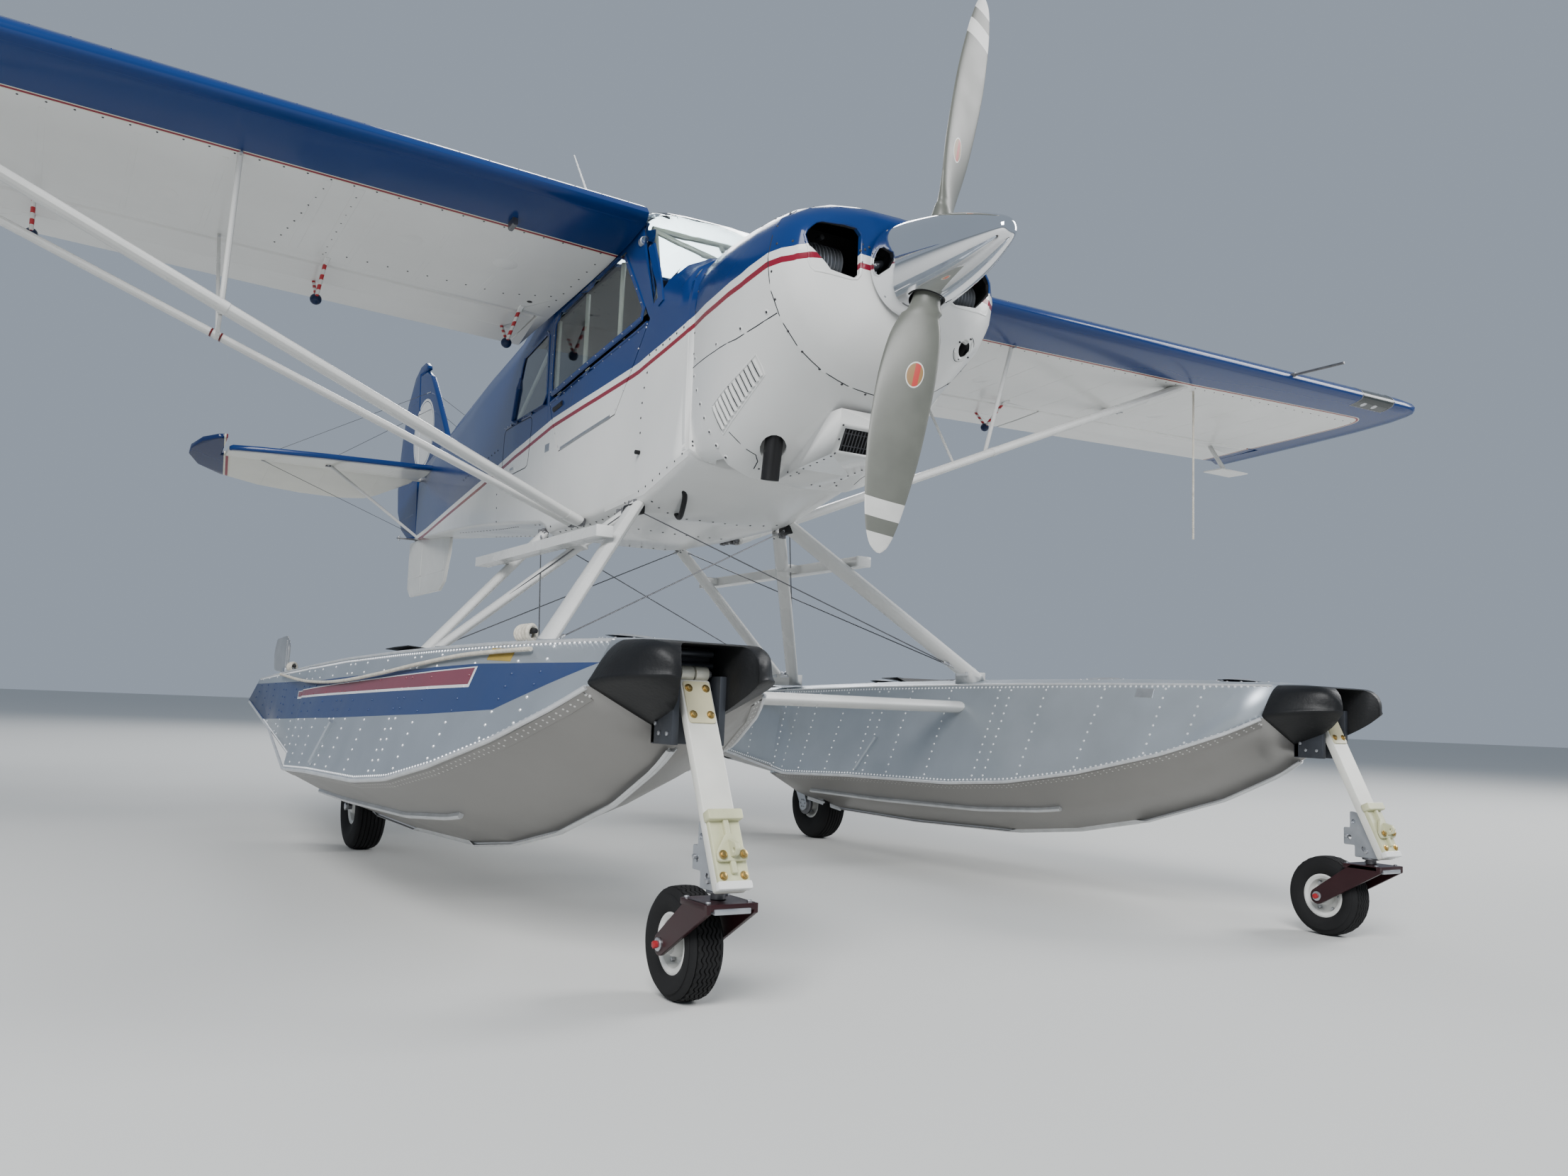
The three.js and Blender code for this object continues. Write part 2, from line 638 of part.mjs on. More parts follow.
function elevator() {
  const front = STAB_AXIS_Y - 20;
  const half = [
    [80, front], [1414, front], [1414, 5800], [1470, 5818], [1560, 5900], [1612, 6040], [1612, 6150],
    [1540, 6300], [1380, 6430], [1100, 6545], [800, 6600], [500, 6605], [330, 6560], [262, 6480], [110, 6210],
    [80, 6150],
  ];
  const port = levelTail(half, 18, 7, STAB_Z);
  const whole = join(port, mirrored(port), rodX(-120, 120, STAB_AXIS_Y, STAB_Z, 17, 12));
  return drooped(whole, STAB_AXIS_Y, STAB_Z, ELEVATOR_DROOP);
}

function ventralFin() {
  const shape = [
    [5300, 1790], [5310, 1680], [5400, 1480], [5500, 1420], [6250, 1418], [6330, 1480], [6340, 1700],
    [6330, 1836], [6100, 1842], [5700, 1830],
  ];
  return cut(uprightTail(shape, 12, 4), fuselageLoft(-GAP));
}

// Floats
const FLOAT_X = 1177;
// Forebody sections: y, keel, chine height, chine half width, deck edge height, deck half width, crown
const FOREBODY = [
  [-573, 566, 687, 234, 796, 178, 808],
  [-480, 505, 640, 272, 797, 196, 815],
  [-250, 402, 556, 336, 798, 228, 822],
  [100, 297, 471, 388, 798, 262, 828],
  [450, 228, 415, 405, 796, 284, 830],
  [800, 188, 388, 412, 793, 293, 830],
  [1500, 168, 375, 415, 784, 295, 826],
  [2100, 172, 350, 385, 770, 284, 812],
  [2285, 176, 340, 345, 766, 278, 808],
];
const AFTERBODY = [
  [2180, 262, 358, 322, 768, 282, 810],
  [3300, 366, 478, 250, 748, 214, 778],
  [4300, 480, 607, 200, 728, 150, 740],
];
const WHEEL_WELL = [2130, 2590];
// The water rudder turns on a pin held by two lugs on the stern
const RUDDER_POST = { y: 4331, lugs: [560, 690], pin: 9, radius: 20 };

function hullRing([y, keel, chineZ, chine, edgeZ, deck, crown], grow = 0) {
  return closedRing(y, [
    [0, keel - grow], [chine * 0.5, mix(keel, chineZ, 0.42) - grow], [chine + grow, chineZ - grow],
    [deck + grow, edgeZ], [deck * 0.6, crown - (crown - edgeZ) * 0.35 + grow], [0, crown + grow],
  ]);
}

function hull() {
  const fore = loft(FOREBODY.map((row) => hullRing(row)));
  const aft = loft(AFTERBODY.map((row) => hullRing(row)));
  const well = box(-112, 112, ...WHEEL_WELL, 0, 410);
  const lugs = RUDDER_POST.lugs.map((z) => box(-24, 24, 4280, RUDDER_POST.y + 22, z, z + 12));
  const bore = rodZ(0, RUDDER_POST.y, 500, 740, RUDDER_POST.pin + 2);
  return cut(join(fore, aft, ...lugs), well, bore);
}

function bumper() {
  // y, deck height, deck half width, chine height, chine half width, keel
  const rows = [
    [-573 - GAP, 800, 176, 690, 230, 572],
    [-640, 799, 172, 700, 216, 596],
    [-710, 796, 160, 708, 190, 624],
    [-765, 789, 144, 716, 164, 650],
    [-802, 776, 126, 722, 142, 672],
    [-822, 758, 110, 726, 122, 690],
  ];
  const body = loft(rows.map(([y, top, deck, chineZ, chine, keel]) => closedRing(y, [
    [0, keel], [chine * 0.5, mix(keel, chineZ, 0.5)], [chine, chineZ],
    [mix(chine, deck, 0.8), mix(chineZ, top, 0.7)], [deck * 0.85, top - 2], [0, top]])));
  const slot = box(-64, 64, -900, -590, 500, 786);
  const cheeks = [-1, 1].map((side) => box(
    Math.min(side * 50, side * 66), Math.max(side * 50, side * 66), -672, -573 - GAP, 565, 720));
  const back = box(-66, 66, -592, -573 - GAP, 565, 790);
  return join(cut(body, slot), ...cheeks, back);
}

// Nose gear: a flat leg slanting forward, a bolted casting near its foot and a castoring fork
const NOSE_AXLE = { y: -652, z: 126 };
const NOSE_TYRE = { radius: 126, half: 43 };
const CASTOR_Y = -800;
const LEG = { top: [-648, 716], foot: [-868, 272], half: 39, thick: 24 };

// [y, z] on the leg, from distances down its front face and out from it
function legPoint(down, out) {
  const [y, z] = LEG.top;
  const run = [LEG.foot[0] - y, LEG.foot[1] - z];
  const length = Math.hypot(...run);
  const [ahead, below] = [run[0] / length, run[1] / length];
  return [y + ahead * down + below * out, z + below * down - ahead * out];
}

const legBlock = (downA, downB, outA, outB, half) => sidePlate([
  legPoint(downA, outA), legPoint(downB, outA), legPoint(downB, outB), legPoint(downA, outB)], -half, half);

function noseLeg() {
  const beam = sidePlate(
    [legPoint(0, 0), legPoint(495, 0), [-863, 262], [-846, 262], legPoint(0, -LEG.thick), [-625, 716]],
    -LEG.half, LEG.half);
  const casting = [
    legBlock(320, 488, -2, 11, LEG.half - 1),
    legBlock(300, 326, -2, 32, LEG.half),
    sidePlate([legPoint(322, 9), legPoint(470, 9), legPoint(470, 14), legPoint(322, 26)], -6, 6),
  ];
  const lug = frontPlate([[-36, 330], [36, 330], [36, 350], [0, 402], [-36, 350]], -20, 0);
  const lean = Math.atan2(LEG.top[0] - LEG.foot[0], LEG.top[1] - LEG.foot[1]);
  const lugAt = legPoint(418, 9);
  const lugOnLeg = lug.translate(0, 0, -352).rotateX(-lean).translate(0, ...lugAt);
  const towEye = rodX(-14, 14, ...legPoint(418, 28), 12, 10);
  const bar = rodX(-33, 33, -638, 728, 18, 8);
  const knuckle = box(-28, 28, -638, -592 - GAP, 708, 745);
  const heel = sidePlate([
    legPoint(330, -20), legPoint(500, -20), [-760, 262], [-760, 298], [-722, 298], [-722, 352], [-744, 352],
    [-744, 404]], -24, 24);
  const pin = rodZ(0, CASTOR_Y, 238, 270, 16);
  return join(beam, ...casting, lugOnLeg, towEye, bar, knuckle, heel, pin);
}

function castorFork() {
  const plate = cut(box(-62, 62, -868, -738, 228, 242), rodZ(0, CASTOR_Y, 200, 260, 22, 16));
  const end = [-128, -90, -50, -10, 30, 62].map((a) => [
    NOSE_AXLE.y + 25 * cosine(a), NOSE_AXLE.z + 25 * sine(a)]);
  const arm = [[-868, 242], [-868, 222], ...end, [-772, 242]];
  const arms = [-62, 52].map((x) => sidePlate(arm, x, x + 10));
  const axle = rodX(-62, 62, NOSE_AXLE.y, NOSE_AXLE.z, 11, 12);
  const collar = cut(rodZ(0, CASTOR_Y, 216, 236, 32, 16), rodZ(0, CASTOR_Y, 200, 260, 22, 16));
  return join(plate, ...arms, axle, collar);
}

const WHEEL_SIDES = 24;

function tyre(radius, half, rim) {
  const wall = half * 0.98;
  const profile = [
    [rim + GAP, -half * 0.72], [mix(rim, radius, 0.3), -wall], [mix(rim, radius, 0.72), -wall],
    [radius - 6, -half * 0.7], [radius, -half * 0.36], [radius, half * 0.36], [radius - 6, half * 0.7],
    [mix(rim, radius, 0.72), wall], [mix(rim, radius, 0.3), wall], [rim + GAP, half * 0.72],
    [rim + GAP, -half * 0.72],
  ];
  return faceOutward(welded(wheelShape(profile, WHEEL_SIDES)));
}

function rimShape(rim, half, bore) {
  const profile = [
    [bore, -half * 0.8], [bore + 16, -half * 0.8], [bore + 18, -half * 0.3], [rim * 0.8, -half * 0.3],
    [rim * 0.86, -half * 0.74], [rim, -half * 0.74], [rim, half * 0.74], [rim * 0.86, half * 0.74],
    [rim * 0.8, half * 0.3], [bore + 18, half * 0.3], [bore + 16, half * 0.8], [bore, half * 0.8],
    [bore, -half * 0.8],
  ];
  return faceOutward(welded(wheelShape(profile, WHEEL_SIDES)));
}

// Main gear: one wheel in the well behind each step
const MAIN_AXLE = { y: 2349, z: 180 };
const MAIN_TYRE = { radius: 180, half: 63, rim: 76 };

function mainLeg() {
  const outline = [[2320, 186], [2330, 155], [2368, 155], [2380, 186], [2470, 330], [2470, 410 - GAP],
    [2380, 410 - GAP], [2380, 340]];
  const arm = sidePlate(outline, -98, -80);
  const axle = rodX(-84, 72, MAIN_AXLE.y, MAIN_AXLE.z, 13, 12);
  const brake = rodX(-84, -70, MAIN_AXLE.y, MAIN_AXLE.z, 58, 16);
  return join(arm, axle, brake);
}

// Float struts: fuselage end, deck end
const FLOAT_STRUTS = {
  front: { top: [378, 1462, 1476], deck: [957, 900, 845] },
  rear: { top: [372, 2515, 1470], deck: [957, 2445, 845] },
  diagonal: { top: [386, 1560, 1452], deck: [957, 2330, 845] },
};

function deckBlock() {
  const rows = [...FOREBODY.slice(0, -1), ...AFTERBODY];
  return moved(loft(rows.map((row) => hullRing(row, GAP))), FLOAT_X, 0, 0);
}

const trimmed = (shape) => cut(shape, deckBlock(), fuselageLoft(-GAP));

function frontFloatStrut() {
  const { top, deck } = FLOAT_STRUTS.front;
  const low = [deck[0] + 30, deck[1] - 28, deck[2] - 32];
  return trimmed(join(strut(top, low, 104, 52, 12), box(930, 1010, 850, 950, 800, 850)));
}

const STEP = { x: [582, 650], y: [1215, 2680], z: [1300, 1342] };

function rearFloatStruts() {
  const { rear, diagonal } = FLOAT_STRUTS;
  const low = (p) => [p[0] + 20, p[1], p[2] - 25];
  const lug = (y, x) => box(x, STEP.x[0] + 6, y - 30, y + 30, STEP.z[0] + 4, STEP.z[1] - 4);
  const shapes = join(
    strut(rear.top, low(rear.deck), 90, 44, 12), strut(diagonal.top, low(diagonal.deck), 76, 40, 12),
    box(...STEP.x, ...STEP.y, ...STEP.z), lug(1700, 490), lug(2500, 520), box(930, 1010, 2290, 2490, 795, 850));
  return trimmed(shapes);
}

function spreader(y, z) {
  const bar = strut([-FLOAT_X, y, z], [FLOAT_X, y, z], 100, 50, 12);
  const hulls = deckBlock();
  return cut(bar, hulls, mirrored(hulls));
}

function waterRudder() {
  const { y, lugs, pin, radius } = RUDDER_POST;
  const parts = [
    rodZ(0, y, 548, 790, pin),
    rodZ(0, y, lugs[0] + 18, lugs[1] - 6, radius),
    box(-22, 22, y - 20, y + 60, lugs[1] + 60, lugs[1] + 110),
    sidePlate([[4345, 765], [4330, 930], [4420, 985], [4700, 975], [4770, 900], [4740, 790]], -7, 7),
  ];
  return join(...parts);
}

function cabinFrame() {
  const tubes = [
    strut([-330, 1530, 2700], [330, 1530, 2700], 30, 30, 8),
    strut([-318, 1524, 2690], [-20, 1240, 2470], 24, 24, 8),
    strut([318, 1524, 2690], [20, 1240, 2470], 24, 24, 8),
    strut([-318, 1524, 2690], [-352, 1352, 2290], 24, 24, 8),
    strut([318, 1524, 2690], [352, 1352, 2290], 24, 24, 8),
    strut([0, 1530, 2700], [0, 1490, 2660], 20, 20, 8),
    box(-350, 350, 1352, 1376, 2272, 2300),
    box(-24, 24, 1200, 1376, 2272, 2300),
    box(-16, 16, 1200, 1250, 2280, 2476),
  ];
  const panel = sidePlate([[1240, 2278], [1360, 2278], [1372, 2030], [1330, 1980], [1240, 1980]], -420, 420);
  return join(...tubes, common(panel, fuselageLoft(WALL + GAP)));
}

// Two seats in line on one floor board
function seats() {
  const floor = box(-280, 280, 1240, 2900, 1600, 1612);
  const keel = common(box(-40, 40, 1440, 2440, 1400, 1604), fuselageLoft(WALL + GAP));
  const one = (y) => join(
    box(-215, 215, y, y + 420, 1800, 1880),
    sidePlate([[y + 380, 1800], [y + 450, 1800], [y + 560, 2260], [y + 490, 2260]], -215, 215),
    box(-180, 180, y + 40, y + 380, 1606, 1810));
  return join(floor, keel, one(1560), one(2330));
}

// Ropes
const ROPE_RADIUS = 6;
const TIE_DOWN = [[3482, 1813, 2707], [3483, 1812, 2500], [3482, 1811, 2250], [3484, 1812, 2000], [3484, 1811, 1790]];
// The line lies along the float's outer side: [y, z]
const MOORING = [
  [3180, 742], [2850, 728], [2500, 714], [2090, 702], [1652, 698], [1279, 706], [829, 728], [561, 746], [211, 768],
  [7, 775], [-250, 780],
];

// Half width of the float's side at a height, between the chine and the deck edge
function sideHalf(y, z) {
  const rows = [...FOREBODY.slice(0, -1), ...AFTERBODY.slice(1)];
  const next = rows.findIndex((row) => row[0] > y);
  const t = (y - rows[next - 1][0]) / (rows[next][0] - rows[next - 1][0]);
  const [, , chineZ, chine, edgeZ, deck] = rows[next].map((value, k) => mix(rows[next - 1][k], value, t));
  return mix(chine, deck, (z - chineZ) / (edgeZ - chineZ));
}

function mooringLine() {
  const reach = ROPE_RADIUS * 2.2;
  const points = MOORING.map(([y, z]) => [-FLOAT_X - sideHalf(y, z) - reach, y, z]);
  return tubeAlong(points, ROPE_RADIUS, 6, 64);
}

const group = new THREE.Group();
group.position.set(0, -MIDDLE_Y, 0);

function add(name, geometry, paint, place) {
  const mesh = new THREE.Mesh(geometry, new THREE.MeshStandardMaterial(PAINT[paint]));
  mesh.name = name;
  if (place) mesh.position.set(...place);
  group.add(mesh);
}

function addPair(name, geometry, paint) {
  add(`${name}_port`, geometry, paint);
  add(`${name}_starboard`, mirrored(geometry), paint);
}

add('fuselage', fuselage(), 'white');
add('cowling', cowling(), 'white');
add('nose_bowl', noseBowl(), 'white');
add('engine_block', engine(), 'black');
add('windshield', windshield(), 'glass');
add('side_window_port', wallGlass(DOOR_WINDOW, 250, 500), 'glass');
add('door_lower', skin(shrunk(DOOR_LOWER, 6), 0, DOOR_THICK, -500, -250), 'white');
add('door_window', skin(shrunk(DOOR_WINDOW, 6), 0, DOOR_THICK, -500, -250), 'glass');
add('cabin_frame', cabinFrame(), 'steel');
add('seats', seats(), 'cloth');
add('spinner', spinner(), 'chrome', [0, 0, HUB_Z]);
add('propeller', propeller(), 'blade', [0, 0, HUB_Z]);

add('wing_port', join(wing(), pitot()), 'blue');
add('wing_starboard', mirrored(wing()), 'blue');
addPair('flap', flap(), 'white');
addPair('aileron', aileron(), 'white');
addPair('lift_strut_front', underWing(liftStrut(LIFT.front)), 'white');
addPair('lift_strut_rear', underWing(liftStrut(LIFT.rear)), 'white');
addPair('jury_struts', juryStruts(), 'white');

add('fin', fin(), 'blue');
add('rudder', rudder(), 'blue');
add('stabilizer', stabilizer(), 'white');
add('elevator', elevator(), 'white');
add('ventral_fin', ventralFin(), 'white');
addPair('tail_strut', tailStrut(), 'white');

// The port float's pieces are placed, the starboard ones are their mirror images
function addFloatPair(name, geometry, paint, y = 0, z = 0) {
  add(`${name}_port`, geometry, paint, [FLOAT_X, y, z]);
  add(`${name}_starboard`, mirrored(geometry), paint, [-FLOAT_X, y, z]);
}

addFloatPair('float', hull(), 'silver');
addFloatPair('bumper', bumper(), 'black');
addFloatPair('nose_leg', noseLeg(), 'cream');
addFloatPair('castor_fork', castorFork(), 'maroon');
addFloatPair('nose_tyre', tyre(NOSE_TYRE.radius, NOSE_TYRE.half, 62), 'rubber', NOSE_AXLE.y, NOSE_AXLE.z);
addFloatPair('nose_rim', rimShape(62, NOSE_TYRE.half, 12), 'white', NOSE_AXLE.y, NOSE_AXLE.z);
addFloatPair('main_tyre', tyre(MAIN_TYRE.radius, MAIN_TYRE.half, MAIN_TYRE.rim), 'rubber', MAIN_AXLE.y, MAIN_AXLE.z);
addFloatPair('main_rim', rimShape(MAIN_TYRE.rim, MAIN_TYRE.half, 14), 'white', MAIN_AXLE.y, MAIN_AXLE.z);
addFloatPair('main_leg', mainLeg(), 'steel');
addFloatPair('water_rudder', waterRudder(), 'silver');
addPair('float_strut_front', frontFloatStrut(), 'white');
addPair('float_struts_rear', rearFloatStruts(), 'white');
add('spreader_front', spreader(848, 700), 'white');
add('spreader_rear', spreader(2560, 700), 'white');
add('tie_down_rope', tubeAlong(TIE_DOWN, ROPE_RADIUS, 8, 36), 'rope');
add('mooring_line', mooringLine(), 'rope');

export default group;
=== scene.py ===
import json
import math

import bpy
from mathutils import Matrix, Vector
from mathutils.bvhtree import BVHTree

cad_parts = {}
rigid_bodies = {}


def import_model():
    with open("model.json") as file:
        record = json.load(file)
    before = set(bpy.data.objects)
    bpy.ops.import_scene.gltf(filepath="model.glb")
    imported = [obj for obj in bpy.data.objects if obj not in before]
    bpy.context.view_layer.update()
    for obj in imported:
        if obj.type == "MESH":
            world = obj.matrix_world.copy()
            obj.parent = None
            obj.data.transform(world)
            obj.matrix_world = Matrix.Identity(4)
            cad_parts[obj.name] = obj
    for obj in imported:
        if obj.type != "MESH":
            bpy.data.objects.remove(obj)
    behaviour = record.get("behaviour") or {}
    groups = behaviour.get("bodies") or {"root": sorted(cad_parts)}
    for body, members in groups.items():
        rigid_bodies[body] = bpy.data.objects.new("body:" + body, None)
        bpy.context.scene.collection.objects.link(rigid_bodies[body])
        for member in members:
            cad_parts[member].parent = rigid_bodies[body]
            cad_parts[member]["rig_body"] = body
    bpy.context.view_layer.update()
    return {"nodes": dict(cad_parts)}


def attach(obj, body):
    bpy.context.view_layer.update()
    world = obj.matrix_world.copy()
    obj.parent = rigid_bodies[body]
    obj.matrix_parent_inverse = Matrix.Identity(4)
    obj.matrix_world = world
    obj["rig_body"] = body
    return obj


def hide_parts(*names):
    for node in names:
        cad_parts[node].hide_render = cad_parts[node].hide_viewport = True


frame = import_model()
nodes = frame["nodes"]


# Camera: a phone held low, a little ahead of and outside the starboard float's bow,
# looking up and across the nose. Its place and lens were solved from the aircraft's own points.
PROPELLER_AHEAD = 2.952  # metres from the frame's origin forward to the propeller plane


def at(x, y, z):
    """A place in metres from drawing millimetres, y counted from the propeller plane."""
    return Vector((x / 1000, y / 1000 - PROPELLER_AHEAD, z / 1000))


def look(yaw, pitch, roll):
    ahead = Vector((math.sin(yaw), math.cos(yaw), 0))
    level = Vector((math.cos(yaw), -math.sin(yaw), 0))
    forward = math.cos(pitch) * ahead + Vector((0, 0, math.sin(pitch)))
    above = -math.sin(pitch) * ahead + Vector((0, 0, math.cos(pitch)))
    right = math.cos(roll) * level + math.sin(roll) * above
    up = -math.sin(roll) * level + math.cos(roll) * above
    return Matrix((right, up, -forward)).transposed().to_4x4()


bpy.ops.object.camera_add()
camera = bpy.context.object
camera.name = "photo_camera"
camera.data.sensor_width = 36
camera.data.lens = 28.204
camera.data.clip_end = 1000
camera.matrix_world = Matrix.Translation(at(-2498, -3153, 644)) @ look(yaw=0.555, pitch=0.102, roll=0.038)
bpy.context.scene.camera = camera


# Ropes: a tie-down rope hangs from the ring under the port wing's strut, and a mooring line
# lies along the starboard float, from the stern cleat to the bow cleat. Three-strand cream polyester.
def plain_material(name, colour, roughness, metallic=0.0):
    material = bpy.data.materials.new(name)
    material.use_nodes = True
    shader = material.node_tree.nodes["Principled BSDF"]
    shader.inputs["Base Color"].default_value = (*colour, 1)
    shader.inputs["Roughness"].default_value = roughness
    shader.inputs["Metallic"].default_value = metallic
    return material


def node(material, kind, **settings):
    made = material.node_tree.nodes.new("ShaderNode" + kind)
    for key, value in settings.items():
        setattr(made, key, value)
    return made


def link(material, source, target):
    material.node_tree.links.new(source, target)


def shader_of(material):
    return material.node_tree.nodes["Principled BSDF"]


def object_point(material):
    return node(material, "TexCoord").outputs["Object"]


def mottled(material, scale, amount, bump=0.0, bump_scale=None, stretch=(1, 1, 1)):
    """Slight uneven tone, gloss and relief over a finish."""
    shader = shader_of(material)
    place = node(material, "Mapping")
    place.inputs["Scale"].default_value = stretch
    link(material, object_point(material), place.inputs["Vector"])
    noise = node(material, "TexNoise")
    noise.inputs["Scale"].default_value = scale
    noise.inputs["Detail"].default_value = 6
    link(material, place.outputs["Vector"], noise.inputs["Vector"])
    tone = node(material, "Mix", data_type="RGBA", blend_type="MULTIPLY")
    tone.inputs["Factor"].default_value = 1
    shade = node(material, "ValToRGB")
    low, high = 1 - amount, 1 + amount * 0.25
    shade.color_ramp.elements[0].position = 0.3
    shade.color_ramp.elements[0].color = (low, low, low, 1)
    shade.color_ramp.elements[1].position = 0.7
    shade.color_ramp.elements[1].color = (high, high, high, 1)
    link(material, noise.outputs["Fac"], shade.inputs["Fac"])
    base = shader.inputs["Base Color"]
    if base.is_linked:
        link(material, base.links[0].from_socket, tone.inputs["A"])
    else:
        tone.inputs["A"].default_value = base.default_value
    link(material, shade.outputs["Color"], tone.inputs["B"])
    link(material, tone.outputs["Result"], base)
    gloss = node(material, "MapRange")
    rough = shader.inputs["Roughness"].default_value
    gloss.inputs["To Min"].default_value = rough * 0.8
    gloss.inputs["To Max"].default_value = min(1, rough * 1.25 + 0.02)
    link(material, noise.outputs["Fac"], gloss.inputs["Value"])
    link(material, gloss.outputs["Result"], shader.inputs["Roughness"])
    if bump:
        fine = node(material, "TexNoise")
        fine.inputs["Scale"].default_value = bump_scale or scale * 6
        fine.inputs["Detail"].default_value = 4
        link(material, place.outputs["Vector"], fine.inputs["Vector"])
        relief = node(material, "Bump")
        relief.inputs["Strength"].default_value = 0.6
        relief.inputs["Distance"].default_value = bump
        link(material, fine.outputs["Fac"], relief.inputs["Height"])
        link(material, relief.outputs["Normal"], shader.inputs["Normal"])
    return material


def rope_curve(name, points, radius, material):
    curve = bpy.data.curves.new(name, "CURVE")
    curve.dimensions = "3D"
    curve.bevel_depth = radius
    curve.bevel_resolution = 3
    curve.use_fill_caps = True
    spline = curve.splines.new("POLY")
    spline.points.add(len(points) - 1)
    for point, place in zip(spline.points, points):
        point.co = (*place, 1)
    rope = bpy.data.objects.new(name, curve)
    bpy.context.collection.objects.link(rope)
    curve.materials.append(material)
    return rope


def smooth_route(points, steps):
    """Points of a smooth curve through the given ones, evenly many on each stretch."""
    ends = [points[0] * 2 - points[1], *points, points[-1] * 2 - points[-2]]
    route = []
    for k in range(1, len(ends) - 2):
        a, b, c, d = ends[k - 1:k + 3]
        for j in range(steps):
            t = j / steps
            route.append(0.5 * (2 * b + (c - a) * t + (2 * a - 5 * b + 4 * c - d) * t ** 2
                                + (3 * b - a - 3 * c + d) * t ** 3))
    return [*route, points[-1]]


rope_finish = plain_material("rope_polyester", (0.62, 0.58, 0.49), 0.85)
strands = node(rope_finish, "TexWave", bands_direction="DIAGONAL")
strands.inputs["Scale"].default_value = 42
link(rope_finish, object_point(rope_finish), strands.inputs["Vector"])
rope_relief = node(rope_finish, "Bump")
rope_relief.inputs["Strength"].default_value = 0.8
rope_relief.inputs["Distance"].default_value = 0.0015
link(rope_finish, strands.outputs["Fac"], rope_relief.inputs["Height"])
link(rope_finish, rope_relief.outputs["Normal"], shader_of(rope_finish).inputs["Normal"])
mottled(rope_finish, 30, 0.25)

ROPE_RADIUS = 0.006
tie_down_points = smooth_route([
    at(3482, 1813, 2707), at(3483, 1812, 2500), at(3482, 1811, 2250), at(3484, 1812, 2000),
    at(3484, 1811, 1790)], 6)
tie_down = rope_curve("tie_down_line", tie_down_points, ROPE_RADIUS, rope_finish)


def run_length(points):
    return sum((b - a).length for a, b in zip(points, points[1:]))


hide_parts("tie_down_rope")
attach(tie_down, "airframe")
run_length(tie_down_points)

FLOAT_X = 1177
# A float from bow to stern: y, chine height, chine half width, deck edge height, deck half width
FLOAT_SIDE = [
    [-573, 687, 234, 796, 178], [-480, 640, 272, 797, 196], [-250, 556, 336, 798, 228],
    [100, 471, 388, 798, 262], [450, 415, 405, 796, 284], [800, 388, 412, 793, 293],
    [1500, 375, 415, 784, 295], [2100, 350, 385, 770, 284], [3300, 478, 250, 748, 214],
    [4300, 607, 200, 728, 150],
]


def float_row(y):
    """Chine height, chine half width, deck edge height and deck half width at a place along a float."""
    for front, back in zip(FLOAT_SIDE, FLOAT_SIDE[1:]):
        if y <= back[0]:
            t = (y - front[0]) / (back[0] - front[0])
            return [a + (b - a) * t for a, b in zip(front[1:], back[1:])]


def side_half(y, z):
    """Half width of a float's side at a height, between the chine and the deck edge."""
    chine_z, chine, edge_z, deck = float_row(y)
    return chine + (deck - chine) * (z - chine_z) / (edge_z - chine_z)


MOORING_CLEARANCE = 13.2
MOORING = [
    [3180, 742], [2850, 728], [2500, 714], [2090, 702], [1652, 698], [1279, 706], [829, 728], [561, 746],
    [211, 768], [7, 775], [-250, 780],
]
mooring_points = smooth_route([
    at(-FLOAT_X - side_half(y, z) - MOORING_CLEARANCE, y, z) for y, z in MOORING], 5)
mooring = rope_curve("mooring_rope", mooring_points, ROPE_RADIUS, rope_finish)
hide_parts("mooring_line")
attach(mooring, "airframe")
run_length(mooring_points)


# Studio: a plain pale floor, an even pale surround and three large soft lamps.
floor_finish = plain_material("floor_plain", (0.60, 0.60, 0.58), 0.9)
bpy.ops.mesh.primitive_plane_add(size=400)
floor = bpy.context.object
floor.name = "floor"
floor.data.materials.append(floor_finish)
world = bpy.data.worlds.new("surround")
bpy.context.scene.world = world
world.use_nodes = True
world.node_tree.nodes["Background"].inputs["Color"].default_value = (0.62, 0.72, 0.86, 1)
world.node_tree.nodes["Background"].inputs["Strength"].default_value = 0.5


def lamp(name, place, target, size, power):
    bpy.ops.object.light_add(type="AREA", location=place)
    light = bpy.context.object
    light.name = name
    light.data.size = size
    light.data.energy = power
    light.rotation_euler = (Vector(target) - Vector(place)).to_track_quat("-Z", "Y").to_euler()


lamp("lamp_front", (-9, -12, 10), (0, -1, 1.5), 7, 3200)
lamp("lamp_port", (13, -6, 9), (0, 0, 2), 7, 1900)
lamp("lamp_tail", (7, 14, 12), (0, 3, 2), 8, 1700)


# Fuselage: fabric and light alloy sheet over a welded tube frame, sprayed royal blue over white, with
# a white line and a dark red line between that run on over the doors, cowling and nose bowl.
BLUE = (0.006, 0.031, 0.135)
NAVY = (0.008, 0.022, 0.085)
WHITE = (0.74, 0.74, 0.72)
CREAM = (0.66, 0.64, 0.52)
RED = (0.22, 0.012, 0.03)
# Top of the red line: place along the aircraft, height
LINE = [
    [150, 2172], [200, 2159], [306, 2157], [476, 2135], [694, 2124], [953, 2125], [1211, 2088], [1458, 2056],
    [1900, 2030], [2445, 2003], [2913, 1960], [3789, 1892], [5600, 1840],
]
WHITE_LINE = 30
RED_LINE = 20


